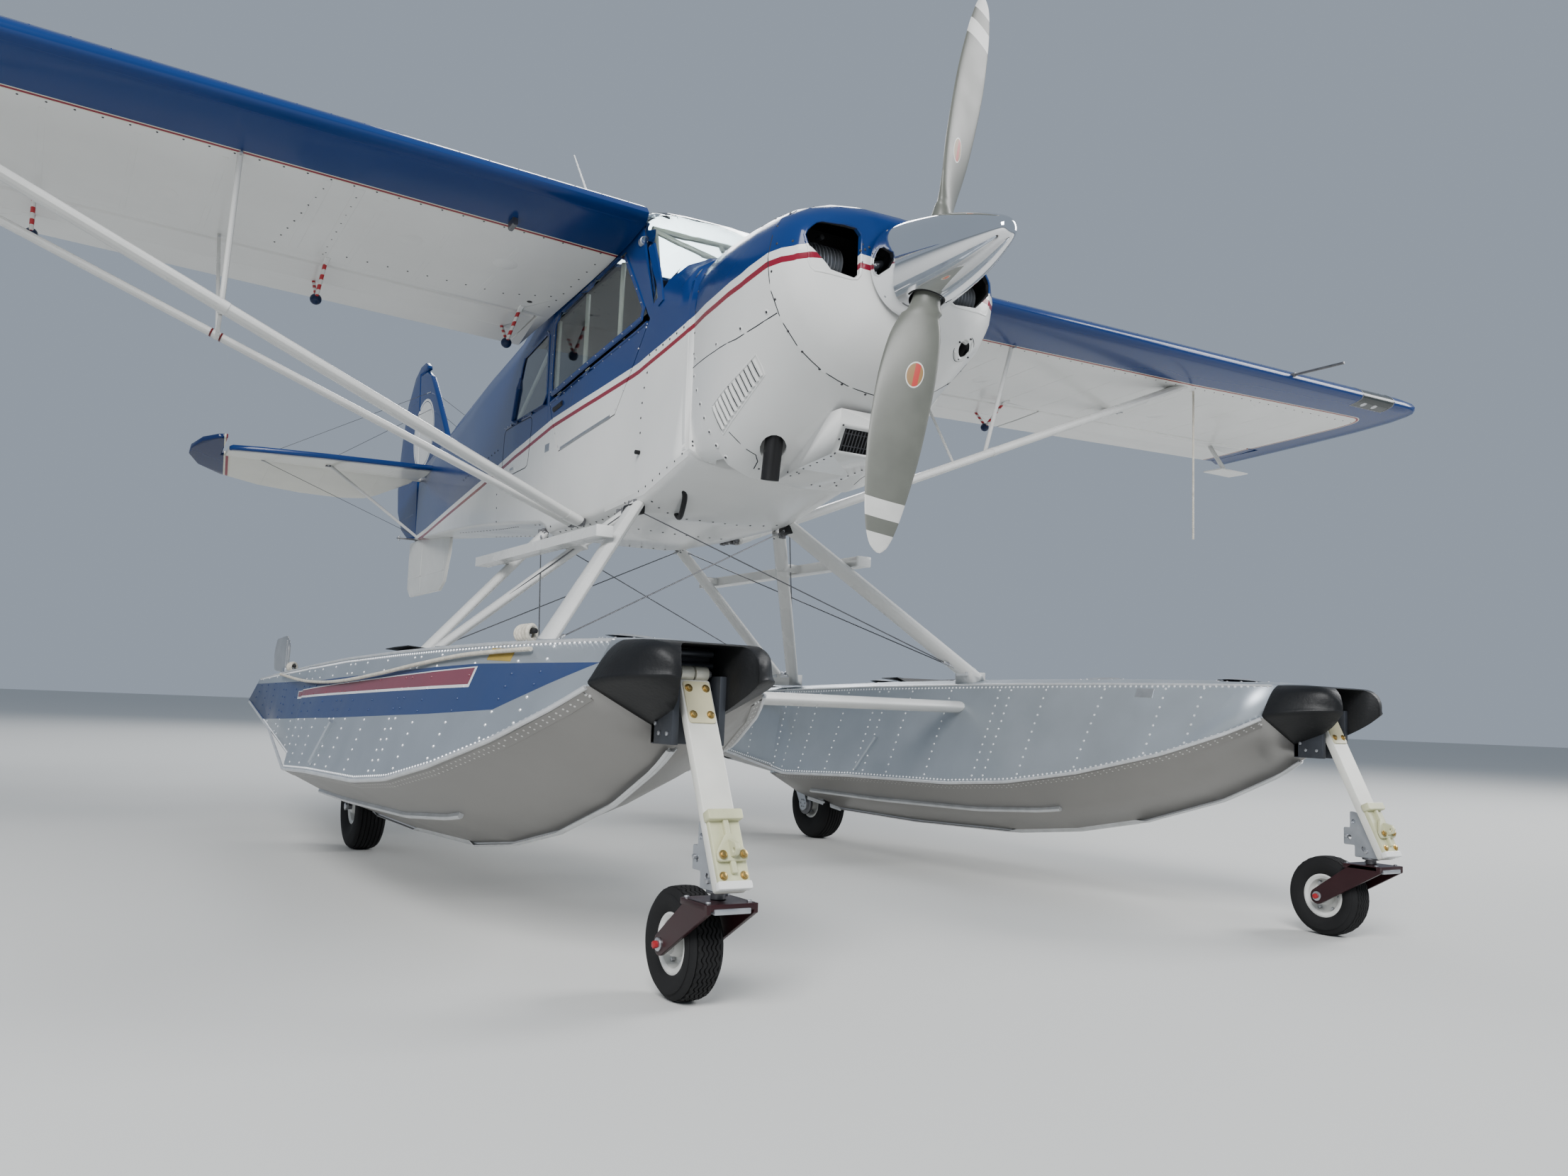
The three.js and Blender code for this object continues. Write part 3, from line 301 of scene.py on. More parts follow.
class Field:
    """A number that varies over a surface, worked out by math nodes."""

    def __init__(self, material, socket):
        self.material = material
        self.socket = socket

    def step(self, operation, *others):
        made = node(self.material, "Math", operation=operation)
        link(self.material, self.socket, made.inputs[0])
        for slot, other in zip(made.inputs[1:], others):
            if isinstance(other, Field):
                link(self.material, other.socket, slot)
            else:
                slot.default_value = other
        return Field(self.material, made.outputs[0])

    def __add__(self, other):
        return self.step("ADD", other)

    def __sub__(self, other):
        return self.step("SUBTRACT", other)

    def __mul__(self, other):
        return self.step("MULTIPLY", other)

    def __lt__(self, other):
        return self.step("LESS_THAN", other)

    def __gt__(self, other):
        return self.step("GREATER_THAN", other)

    def size(self):
        return self.step("ABSOLUTE")

    def inside(self, low, high):
        return (self > low) * (self < high)

    def ramp(self, start, end, low, high):
        made = node(self.material, "MapRange")
        link(self.material, self.socket, made.inputs["Value"])
        for key, value in [("From Min", start), ("From Max", end), ("To Min", low), ("To Max", high)]:
            made.inputs[key].default_value = value
        return Field(self.material, made.outputs["Result"])

    def along(self, table):
        """Straight lines through the table's [place, value] rows."""
        whole = None
        for (start, low), (end, high) in zip(table, table[1:]):
            part = self.ramp(start, end, low if whole is None else 0, high if whole is None else high - low)
            whole = part if whole is None else whole + part
        return whole


def drawing_axes(material):
    """Fields of x, y and z in drawing millimetres."""
    place = node(material, "Mapping")
    place.inputs["Location"].default_value = (0, PROPELLER_AHEAD * 1000, 0)
    place.inputs["Scale"].default_value = (1000, 1000, 1000)
    link(material, object_point(material), place.inputs["Vector"])
    split = node(material, "SeparateXYZ")
    link(material, place.outputs["Vector"], split.inputs["Vector"])
    return [Field(material, split.outputs[axis]) for axis in "XYZ"]


def paint_over(material, mask, colour):
    base = shader_of(material).inputs["Base Color"]
    mix = node(material, "Mix", data_type="RGBA")
    link(material, mask.socket, mix.inputs["Factor"])
    if base.is_linked:
        link(material, base.links[0].from_socket, mix.inputs["A"])
    else:
        mix.inputs["A"].default_value = base.default_value
    mix.inputs["B"].default_value = (*colour, 1)
    link(material, mix.outputs["Result"], base)


def painted(name, colour, roughness=0.2):
    material = plain_material(name, colour, roughness)
    shader_of(material).inputs["Specular IOR Level"].default_value = 0.22
    shader_of(material).inputs["Coat Weight"].default_value = 0.12
    shader_of(material).inputs["Coat Roughness"].default_value = 0.05
    return material


def livery(name):
    material = painted(name, WHITE)
    x, y, z = drawing_axes(material)
    above = z - y.along(LINE)
    paint_over(material, above.inside(-RED_LINE, 0), RED)
    paint_over(material, above > WHITE_LINE, BLUE)
    return mottled(material, 2.2, 0.06, 0.0006, 3)


def deselect():
    bpy.ops.object.select_all(action="DESELECT")


def pick(piece):
    """Selects one piece alone, for the operators that follow."""
    deselect()
    bpy.context.view_layer.objects.active = piece
    piece.select_set(True)


def smoothed(piece, angle):
    pick(piece)
    bpy.ops.object.shade_smooth_by_angle(angle=math.radians(angle))


def applied(piece, kind, **settings):
    bpy.context.view_layer.objects.active = piece
    bpy.ops.object.modifier_add(type=kind)
    modifier = piece.modifiers[-1]
    for key, value in settings.items():
        setattr(modifier, key, value)
    bpy.ops.object.modifier_apply(modifier=modifier.name)


WELD = 0.00005


def skin_of(node_name, material, angle=32):
    """One welded, smooth-shaded skin that stands for a CAD node."""
    source = nodes[node_name]
    skin = bpy.data.objects.new(node_name + "_skin", source.data.copy())
    bpy.context.collection.objects.link(skin)
    pick(skin)
    bpy.ops.object.mode_set(mode="EDIT")
    bpy.ops.mesh.select_all(action="SELECT")
    bpy.ops.mesh.remove_doubles(threshold=WELD)
    bpy.ops.object.mode_set(mode="OBJECT")
    smoothed(skin, angle)
    applied(skin, "WEIGHTED_NORMAL", keep_sharp=True)
    skin.data.materials.clear()
    skin.data.materials.append(material)
    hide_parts(node_name)
    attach(skin, source["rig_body"])
    return skin


def lined(skin, lining, middle_z, front, back=None):
    """Faces that look in towards the middle line, and the end walls' inner faces, get the second material:
    the cabin's lining in the fuselage, near-black painted shade in the cowling and bowl.
    """
    skin.data.materials.append(lining)
    for face in skin.data.polygons:
        y = face.center.y + PROPELLER_AHEAD
        out = Vector((face.center.x, 0, face.center.z - middle_z))
        inward = face.normal.dot(out.normalized()) < -0.25
        front_wall = face.normal.y > 0.8 and front[0] < y < front[1]
        back_wall = back and face.normal.y < -0.8 and back[0] < y < back[1]
        if inward or front_wall or back_wall:
            face.material_index = 1


fuselage_paint = livery("fuselage_paint")
lining = mottled(plain_material("cabin_lining", (0.055, 0.055, 0.058), 0.75), 8, 0.2, 0.0005, 60)
fuselage = skin_of("fuselage", fuselage_paint)
lined(fuselage, lining, 2.10, (0.97, 1.1), (3.7, 3.9))
door_lower = skin_of("door_lower", fuselage_paint)

clear_sheet = plain_material("clear_sheet", (0.80, 0.88, 0.90), 0.02)
shader_of(clear_sheet).inputs["Transmission Weight"].default_value = 1
shader_of(clear_sheet).inputs["IOR"].default_value = 1.42
cloudy = node(clear_sheet, "TexNoise")
cloudy.inputs["Scale"].default_value = 3
link(clear_sheet, object_point(clear_sheet), cloudy.inputs["Vector"])
haze = node(clear_sheet, "MapRange")
haze.inputs["To Min"].default_value = 0.01
haze.inputs["To Max"].default_value = 0.05
link(clear_sheet, cloudy.outputs["Fac"], haze.inputs["Value"])
link(clear_sheet, haze.outputs["Result"], shader_of(clear_sheet).inputs["Roughness"])
screen = skin_of("windshield", clear_sheet)
port_window = skin_of("side_window_port", clear_sheet)
door_window = skin_of("door_window", clear_sheet)


# Doors, windows and fuselage fittings: sheet frames screwed round the clear panes, steel posts behind them,
# screws along the belly and side seams, and a hinged baggage door, handles and blank plates on the skin.
def surface_of(*skins):
    """The nearest place and facing on the outsides of some skins, for points in drawing millimetres."""
    trees = [BVHTree.FromPolygons([v.co for v in skin.data.vertices], [
        list(face.vertices) for face in skin.data.polygons if face.material_index == 0]) for skin in skins]

    def nearest(point):
        found = [tree.find_nearest(at(*point)) for tree in trees]
        return min(found, key=lambda hit: hit[3])[:2]

    return nearest


def spaced(points, pitch):
    """Evenly spaced points on the straight lines through the given ones, both ends kept."""
    points = [Vector(p) for p in points]
    lengths = [(b - a).length for a, b in zip(points, points[1:])]
    count = max(1, round(sum(lengths) / pitch))
    made = []
    for k in range(count + 1):
        rest = sum(lengths) * k / count
        for a, b, length in zip(points, points[1:], lengths):
            if rest <= length + 1e-6:
                made.append(a + (b - a) * (rest / length))
                break
            rest -= length
    return made


def dressed(piece, material, angle=32):
    """The piece with its place put into its mesh, its finish on, and smooth shading below the angle."""
    pick(piece)
    bpy.ops.object.transform_apply(location=True, rotation=True, scale=True)
    piece.data.materials.clear()
    piece.data.materials.append(material)
    smoothed(piece, angle)
    return piece


def faced_out(piece, merge=None):
    """Turns every face outwards, after points closer than the merge distance become one."""
    pick(piece)
    bpy.ops.object.mode_set(mode="EDIT")
    bpy.ops.mesh.select_all(action="SELECT")
    if merge:
        bpy.ops.mesh.remove_doubles(threshold=merge)
    bpy.ops.mesh.normals_make_consistent(inside=False)
    bpy.ops.object.mode_set(mode="OBJECT")


def meshed(curve):
    """The curve turned into a mesh."""
    pick(curve)
    bpy.ops.object.convert(target="MESH")
    return bpy.context.object


def from_rows(name, points, faces, material, angle=32):
    mesh = bpy.data.meshes.new(name)
    mesh.from_pydata(points, [], faces)
    mesh.validate()
    piece = bpy.data.objects.new(name, mesh)
    bpy.context.collection.objects.link(piece)
    return dressed(piece, material, angle)


def strip(name, surface, points, width, height, material, body, pitch=40, closed=False):
    """A flat moulding laid along a line on a surface, its outer corners eased."""
    route = spaced([*points, points[0]] if closed else points, pitch)
    if closed:
        route = route[:-1]
    laid = [surface(p) for p in route]
    ease = min(width * 0.25, height)
    profile = [(-width / 2, -2), (-width / 2, height - ease), (ease - width / 2, height),
               (width / 2 - ease, height), (width / 2, height - ease), (width / 2, -2)]
    corners, faces = [], []
    last = len(laid) - 1
    for k, (place, facing) in enumerate(laid):
        before = laid[k - 1][0] if k or closed else place
        after = laid[(k + 1) % len(laid)][0] if k < last or closed else place
        across = (after - before).normalized().cross(facing).normalized()
        corners += [place + across * (u / 1000) + facing * (v / 1000) for u, v in profile]
    size = len(profile)
    for k in range(len(laid) if closed else last):
        a, b = k * size, (k + 1) % len(laid) * size
        faces += [[a + j, b + j, b + (j + 1) % size, a + (j + 1) % size] for j in range(size)]
    if not closed:
        faces += [list(range(size)), [last * size + j for j in reversed(range(size))]]
    piece = from_rows(name, corners, faces, material)
    faced_out(piece)
    if body:
        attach(piece, body)
    return piece


def head(radius, height, sides=8):
    """A low rounded head, standing on the origin."""
    deselect()
    bpy.ops.mesh.primitive_cone_add(vertices=sides, radius1=radius / 1000, radius2=radius * 0.55 / 1000,
                                    depth=(height + 1) / 1000, location=(0, 0, (height - 1) / 2000))
    made = bpy.context.object
    bpy.ops.object.transform_apply(location=True, rotation=True, scale=True)
    return made


def scattered(name, model, places, material, body):
    """One joined mesh of a modelled piece copied to each place, square to its facing."""
    corners = [corner.co.copy() for corner in model.data.vertices]
    sides = [list(face.vertices) for face in model.data.polygons]
    points, faces = [], []
    for place, facing in places:
        turn = facing.to_track_quat("Z", "Y")
        start = len(points)
        points += [place + turn @ corner for corner in corners]
        faces += [[start + k for k in side] for side in sides]
    bpy.data.objects.remove(model)
    piece = from_rows(name, points, faces, material, 50)
    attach(piece, body)
    return piece


def studs(name, surface, rows, pitch, radius, height, material, body):
    """Heads along rows on a surface; a row of one point is one head."""
    places = []
    for row in rows:
        points = spaced(row, pitch) if len(row) > 1 else row
        places += [surface(point) for point in points]
    return scattered(name, head(radius, height), places, material, body)


def block(low, high, material, bevel=1.0):
    """A box between two corners, its edges eased."""
    deselect()
    low, high = at(*low), at(*high)
    bpy.ops.mesh.primitive_cube_add(size=1, location=(low + high) / 2)
    piece = bpy.context.object
    piece.scale = high - low
    bpy.ops.object.transform_apply(location=False, rotation=False, scale=True)
    applied(piece, "BEVEL", width=bevel / 1000, segments=2)
    return dressed(piece, material)


def rod(start, end, radius, material, bevel=0.6, sides=24, tip=None):
    """A round bar between two places; a tip radius makes it taper."""
    deselect()
    start, end = at(*start), at(*end)
    turn = (end - start).to_track_quat("Z", "Y").to_euler()
    bpy.ops.mesh.primitive_cone_add(vertices=sides, radius1=radius / 1000,
                                    radius2=(radius if tip is None else tip) / 1000,
                                    depth=(end - start).length, location=(start + end) / 2, rotation=turn)
    piece = bpy.context.object
    if bevel:
        applied(piece, "BEVEL", width=bevel / 1000, segments=2, angle_limit=math.radians(40))
    return dressed(piece, material)


def plane(origin, right, up):
    """Where a flat outline lies: its origin in drawing millimetres and its two directions."""
    right = Vector(right).normalized()
    up = (Vector(up) - right * right.dot(Vector(up))).normalized()
    turn = Matrix((right, up, right.cross(up))).transposed().to_4x4()
    return Matrix.Translation(at(*origin)) @ turn


def rounded(outline, radius, steps=4):
    """The outline with each corner turned on a short curve."""
    made = []
    for k, corner in enumerate(outline):
        corner = Vector(corner)
        before = Vector(outline[k - 1]) - corner
        after = Vector(outline[(k + 1) % len(outline)]) - corner
        reach = min(radius / math.tan(before.angle(after) / 2), before.length * 0.48, after.length * 0.48)
        start, end = corner + before.normalized() * reach, corner + after.normalized() * reach
        for j in range(steps + 1):
            t = j / steps
            made.append(start * (1 - t) ** 2 + corner * 2 * t * (1 - t) + end * t * t)
    return made


def disc(radius, u=0, v=0, sides=24):
    """A round outline."""
    angles = [2 * math.pi * k / sides for k in range(sides)]
    return [(u + radius * math.cos(a), v + radius * math.sin(a)) for a in angles]


def plate(outlines, lie, thick, material, bevel=1.0):
    """A sheet cut to an outline, with the further outlines as holes; its edges are eased."""
    curve = bpy.data.curves.new("plate", "CURVE")
    curve.dimensions = "2D"
    curve.fill_mode = "BOTH"
    curve.extrude = (thick / 2 - bevel) / 1000
    curve.bevel_depth = bevel / 1000
    curve.bevel_resolution = 1
    curve.offset = -bevel / 1000
    for outline in outlines:
        spline = curve.splines.new("POLY")
        spline.points.add(len(outline) - 1)
        spline.use_cyclic_u = True
        for point, (u, v) in zip(spline.points, outline):
            point.co = (u / 1000, v / 1000, 0, 1)
    sheet = bpy.data.objects.new("plate", curve)
    bpy.context.collection.objects.link(sheet)
    piece = meshed(sheet)
    piece.matrix_world = lie
    return dressed(piece, material)


def joined(name, pieces, body, *replaced):
    """Pieces made one, riding a body, and standing for the CAD nodes named."""
    deselect()
    for piece in pieces:
        piece.select_set(True)
    bpy.context.view_layer.objects.active = pieces[0]
    if len(pieces) > 1:
        bpy.ops.object.join()
    whole = bpy.context.object
    whole.name = name
    for node_name in replaced:
        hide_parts(node_name)
    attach(whole, body)
    return whole


side = surface_of(fuselage)
shut = surface_of(fuselage, door_lower, door_window)
zinc = mottled(plain_material("zinc_heads", (0.50, 0.51, 0.53), 0.34, 0.9), 40, 0.15)
# These screw heads are near black as painted shade: the dark tone stands for the shade round each head. The
# air box grille bars and the cowl's fastener slots use the same finish.
shaded_screw_steel = mottled(plain_material("shaded_screw_steel", (0.05, 0.05, 0.055), 0.45, 0.4), 40, 0.2)
steel = mottled(plain_material("worn_steel", (0.20, 0.20, 0.21), 0.42, 0.9), 25, 0.25, 0.0002, 90)
alloy = mottled(plain_material("worn_alloy", (0.46, 0.48, 0.51), 0.36, 0.85), 18, 0.2, 0.0002, 80)
brass = mottled(plain_material("brass_bolts", (0.52, 0.36, 0.13), 0.32, 0.95), 40, 0.2)
black = mottled(plain_material("black_plastic", (0.010, 0.010, 0.011), 0.5), 20, 0.2)
shader_of(black).inputs["Specular IOR Level"].default_value = 0.3
gap_dark = plain_material("gap_dark", (0.012, 0.014, 0.02), 0.8)
blue_trim = mottled(painted("blue_trim", BLUE), 4, 0.06)
cream_tube = mottled(painted("cream_tube", (0.62, 0.60, 0.48)), 10, 0.1)

airframe = nodes["fuselage"]["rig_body"]
CABIN_HALF = 392
# Corners of the windows, and where their posts stand, as y and height
WINDOW = [(1395, 2278), (1662, 2628), (2500, 2540), (2512, 2150)]
WINDOW_MIDDLE = Vector((2060, 2400))
FRAME_INSET = 0.032
WINDOW_POSTS = [(1746, 2262, 2608), (2130, 2196, 2570), (2476, 2160, 2530)]
REAR_WINDOW = [(2575, 2508), (2985, 2462), (3130, 2130), (2562, 2128)]
REAR_MIDDLE = (2790, 2300)
for hand, name in ((-1, "starboard"), (1, "port")):
    panes = surface_of(door_window if hand < 0 else port_window, fuselage)
    body = nodes["door_window" if hand < 0 else "fuselage"]["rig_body"]
    inset = [(hand * CABIN_HALF, *(Vector(corner) * (1 - FRAME_INSET) + WINDOW_MIDDLE * FRAME_INSET))
             for corner in rounded(WINDOW, 26)]
    strip(f"window_frame_{name}", panes, inset, 30, 5, blue_trim, body, 60, True)
    studs(f"window_screws_{name}", panes, [[*inset, inset[0]]], 96, 4.5, 7.5, zinc, body)
    for k, (y, low, high) in enumerate(WINDOW_POSTS):
        post = rod((hand * 350, y, low), (hand * 350, y, high), 10, cream_tube)
        joined(f"window_post_{k + 1}_{name}", [post], airframe)
    rear = [(hand * CABIN_HALF, *corner) for corner in rounded(REAR_WINDOW, 30)]
    strip(f"rear_window_frame_{name}", side, rear, 26, 4, blue_trim, airframe, 60, True)
    pane = [(y - REAR_MIDDLE[0], z - REAR_MIDDLE[1]) for y, z in REAR_WINDOW]
    pane_lie = plane((hand * 364, *REAR_MIDDLE), (hand * -0.045, 1, 0), (0, 0, 1))
    joined(f"rear_pane_{name}", [plate([rounded(pane, 30)], pane_lie, 3, clear_sheet, 0.5)], airframe)
    brace = rod((hand * 338, 2600, 2470), (hand * 330, 3090, 2160), 10, cream_tube)
    joined(f"rear_window_tube_{name}", [brace], airframe)

SIDE_ROWS = [
    [(-401, 1043, 2130), (-398, 1209, 2108), (-396, 1356, 2093)],
    [(-395, 1372, 2022), (-394, 1401, 1947), (-394, 1416, 1859), (-394, 1414, 1776)],
    [(-386, 886, 1663), (-386, 953, 1646), (-395, 1064, 1608), (-393, 1198, 1578), (-391, 1326, 1545),
     (-390, 1410, 1531)],
    [(-350, 1552, 1509), (-350, 1791, 1491), (-350, 1977, 1481), (-345, 2329, 1499), (-330, 2760, 1540)],
    [(-332, 3382, 1787), (-334, 3355, 1632)],
    [(-272, 3175, 1592), (-162, 3828, 1658), (-120, 4700, 1740)],
    [(-340, 3420, 2040), (-250, 4300, 2010)],
]
mirror = [[(-x, y, z) for x, y, z in row] for row in SIDE_ROWS]
BELLY_ROWS = [
    [(-349, 1364, 1488), (-281, 1409, 1467), (-131, 1467, 1452), (-19, 1451, 1451), (107, 1457, 1453),
     (281, 1409, 1467)],
    [(-240, 1845, 1443), (245, 1845, 1443)],
    [(-230, 2400, 1460), (230, 2400, 1460)],
    [(-210, 2900, 1500), (210, 2900, 1500)],
]
studs("fuselage_screws", side, SIDE_ROWS + mirror, 70, 6.2, 2.2, shaded_screw_steel, airframe)
studs("belly_screws", side, BELLY_ROWS, 62, 6.2, 2.2, shaded_screw_steel, airframe)
SIDE_LAPS = [
    [(383, 828, 1655), (392, 1064, 1600), (388, 1367, 1524), (385, 1760, 1500)],
    [(398, 1000, 2390), (399, 1010, 2100), (392, 1010, 1800), (380, 1000, 1640)],
]
laps = [[(hand * x, y, z) for x, y, z in line] for line in SIDE_LAPS for hand in (-1, 1)]
for k, line in enumerate(laps):
    strip(f"side_lap_{k + 1}", side, line, 26, 1.2, fuselage_paint, airframe)
BAGGAGE_DOOR = [(2778, 2110), (3291, 2124), (3309, 1852), (2821, 1852)]
for hand, name in ((-1, "starboard"), (1, "port")):
    hatch = [(hand * 370, y, z) for y, z in rounded(BAGGAGE_DOOR, 40)]
    strip(f"baggage_door_seam_{name}", side, hatch, 5, 0.8, gap_dark, airframe, 30, True)
    hinge = [(hand * 370, 2800, 2124), (hand * 350, 3280, 2138)]
    strip(f"baggage_hinge_{name}", side, hinge, 18, 3, blue_trim, airframe)
    studs(f"baggage_hinge_screws_{name}", side, [hinge], 60, 4, 4.4, zinc, airframe)
    latch = [(hand * 350, 3060, 1880), (hand * 350, 3120, 1880)]
    strip(f"baggage_latch_{name}", side, latch, 22, 6, zinc, airframe, 20)
    plate_line = [(hand * 382, 2480, 1898), (hand * 382, 2545, 1898)]
    strip(f"blank_plate_{name}", side, plate_line, 40, 1.5, alloy, airframe, 20)
    handle_body = nodes["door_lower" if hand < 0 else "fuselage"]["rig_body"]
    handle = [(hand * 396, 2330, 2086), (hand * 396, 2440, 2074)]
    strip(f"door_handle_{name}", shut, handle, 26, 9, black, handle_body, 30)
    screen_post = [(hand * 360, 1478, 2668), (hand * 392, 1390, 2520), (hand * 397, 1268, 2290)]
    strip(f"screen_post_{name}", surface_of(screen, fuselage), screen_post, 44, 5, blue_trim, airframe, 50)
door_body = nodes["door_lower"]["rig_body"]
door_near = surface_of(door_lower)
strip("door_sill", door_near, [(-396, 1404, 2262), (-396, 2506, 2136)], 16, 4, blue_trim, door_body)
strip("door_hinge", door_near, [(-392, 1740, 1908), (-392, 2320, 1862)], 20, 5, zinc, door_body)
studs("door_screws", door_near, [
    [(-395, 1400, 2236), (-395, 2500, 2112)], [(-392, 1398, 2214), (-392, 1690, 1930)],
    [(-392, 2500, 2096), (-392, 2366, 1880)]], 92, 4.5, 1.8, zinc, door_body)


# Belly hose, drain knob and root lamp: a bent black rubber hose under the cabin's front, a plastic knob
# pushed into the starboard side on a zinc stem, and a clear lens on an alloy base that looks forward from
# the wing root.
HOSE_RADIUS = 0.011
hose_points = smooth_route([
    at(-300, 1190, 1535), at(-268, 1230, 1500), at(-240, 1300, 1462), at(-214, 1372, 1440),
    at(-207, 1413, 1452), at(-206, 1440, 1490)], 6)
hose = meshed(rope_curve("belly_hose_line", hose_points, HOSE_RADIUS, black))
joined("belly_hose", [dressed(hose, black)], airframe)
joined("drain_knob", [rod((-390, 1412, 1693), (-414, 1412, 1693), 9, black),
                      rod((-380, 1412, 1693), (-402, 1412, 1693), 4, zinc)], airframe)
joined("roof_light", [rod((-389, 1478, 2622), (-389, 1462, 2622), 16, clear_sheet),
                      rod((-385, 1510, 2622), (-389, 1479, 2622), 19, alloy)], airframe)


# Cowling and nose bowl: painted alloy and glass fibre shells with quarter-turn studs, a hinge line and a
# louvred panel each side. An air box with a barred grille and an exhaust pipe hang below, and finned
# cylinders show in the inlets.
cowl_paint = livery("cowl_paint")
# The inner faces of the cowling and nose bowl, and the air box duct's walls, are near black: painted shade
# for the dark inside of the openings.
inside_shade = mottled(plain_material("cowl_inside_shade", (0.03, 0.03, 0.032), 0.7), 12, 0.3)
cowling = skin_of("cowling", cowl_paint)
ENGINE_Z = 2.17
lined(cowling, inside_shade, ENGINE_Z, (0.1, 0.2))
DUCT_HALF = 93
DUCT_Y = (340, 455)
DUCT_Z = (1575, 1664)
# The air box duct's walls get the same painted shade.
for face in cowling.data.polygons:
    x, y, z = (face.center - at(0, 0, 0)) * 1000
    in_duct = abs(x) < DUCT_HALF and DUCT_Y[0] < y < DUCT_Y[1] and DUCT_Z[0] < z < DUCT_Z[1]
    wall = abs(face.normal.x) > 0.9 or abs(face.normal.z) > 0.9 or face.normal.y < -0.97
    if in_duct and wall:
        face.material_index = 1
nose_bowl = skin_of("nose_bowl", cowl_paint)
lined(nose_bowl, inside_shade, ENGINE_Z, (0.15, 0.34))
cowl = surface_of(cowling)
bowl = surface_of(nose_bowl)
white_trim = mottled(painted("white_trim", WHITE), 5, 0.05)
LOUVRES = 12
# Rows of fasteners and seams, given on the starboard side
HINGE_ROW = [(-437, 350, 2001), (-453, 497, 1977), (-447, 682, 1966), (-407, 920, 1975)]
REAR_ROW = [(-406, 924, 1907), (-412, 887, 1844), (-415, 848, 1783), (-407, 826, 1727), (-391, 810, 1674),
            (-368, 795, 1624), (-329, 790, 1584)]
COWL_SEAMS = [
    [(-421, 307, 1990), (-449, 527, 1949), (-450, 700, 1945), (-402, 962, 1947)],
    [(-367, 706, 1659), (-300, 700, 1618), (-239, 694, 1581), (-229, 753, 1549)],
    [(-360, 320, 2380), (-395, 620, 2420), (-360, 960, 2470)],
]
BOWL_SCREWS = [
    (-380, 307, 1933), (-320, 305, 1873), (-248, 310, 1823), (-153, 312, 1784), (-51, 312, 1765),
    (-189, 150, 2236), (-196, 150, 2213), (-178, 150, 2221), (-161, 150, 2233), (-189, 150, 2174),
    (-458, 265, 2210), (-432, 206, 2207), (-452, 290, 2290), (-400, 292, 2352), (-300, 292, 2396),
    (-180, 290, 2412), (-60, 288, 2418), (-462, 288, 2120), (-440, 296, 2030),
]
INLET = [(190, 2106), (190, 2292), (410, 2292), (410, 2106)]
CYLINDER_Z = 2196
for hand, name in ((-1, "starboard"), (1, "port")):
    tops = [Vector((hand * 410, 460, 1884)), Vector((hand * 415, 758, 1756))]
    feet = [Vector((hand * 367, 462, 1823)), Vector((hand * 372, 741, 1653))]
    strip(f"louvre_panel_edge_{name}", cowl, [*tops, *reversed(feet)], 8, 2, cowl_paint, airframe, 40, True)
    slats = []
    back = Vector((0, 9, 0))
    for k in range(LOUVRES):
        t = (k + 0.7) / (LOUVRES + 0.4)
        top, foot = tops[0].lerp(tops[1], t), feet[0].lerp(feet[1], t)
        high, low = top.lerp(foot, 0.1), top.lerp(foot, 0.9)
        slats.append(strip("louvre", cowl, [high, low], 13, 7, cowl_paint, None, 14))
        slats.append(strip("louvre_slot", cowl, [high + back, low + back], 6, 4, gap_dark, None, 14))
    joined(f"louvres_{name}", slats, airframe)
    latches = [[(hand * -x, y, z)] for x, y, z in HINGE_ROW + REAR_ROW]
    studs(f"quarter_turns_{name}", cowl, latches, 50, 13, 2.0, cowl_paint, airframe)
    studs(f"quarter_turn_slots_{name}", cowl, latches, 50, 7.5, 3.4, shaded_screw_steel, airframe)
    for k, line in enumerate(COWL_SEAMS):
        seam = [(hand * -x, y, z) for x, y, z in line]
        strip(f"cowl_seam_{k + 1}_{name}", cowl, seam, 4, 0.8, gap_dark, airframe)
    studs(f"cowl_top_screws_{name}", cowl, [
        [(hand * 372, 330, 2366), (hand * 404, 620, 2404), (hand * 368, 950, 2456)],
        [(hand * 395, 944, 2330), (hand * 402, 944, 2000)]], 86, 5.5, 2.0, shaded_screw_steel, airframe)
    bowl_places = [[(hand * -x, y, z)] for x, y, z in BOWL_SCREWS]
    studs(f"bowl_screws_{name}", bowl, bowl_places, 50, 5.5, 2.4, shaded_screw_steel, airframe)
    lip = [(hand * x, 140, z) for x, z in rounded(INLET, 40, 6)]
    strip(f"inlet_lip_{name}", bowl, lip, 9, 2.2, cowl_paint, airframe, 24, True)
    barrel = [rod((hand * 200, 305, CYLINDER_Z), (hand * 400, 305, CYLINDER_Z), 46, alloy)]
    for x in range(206, 387, 15):
        barrel.append(rod((hand * x, 305, CYLINDER_Z), (hand * (x + 3), 305, CYLINDER_Z), 66, alloy, 0))
    barrel.append(rod((hand * 300, 262, 2262), (hand * 300, 230, 2262), 9, black))
    joined(f"cylinder_{name}", barrel, airframe)

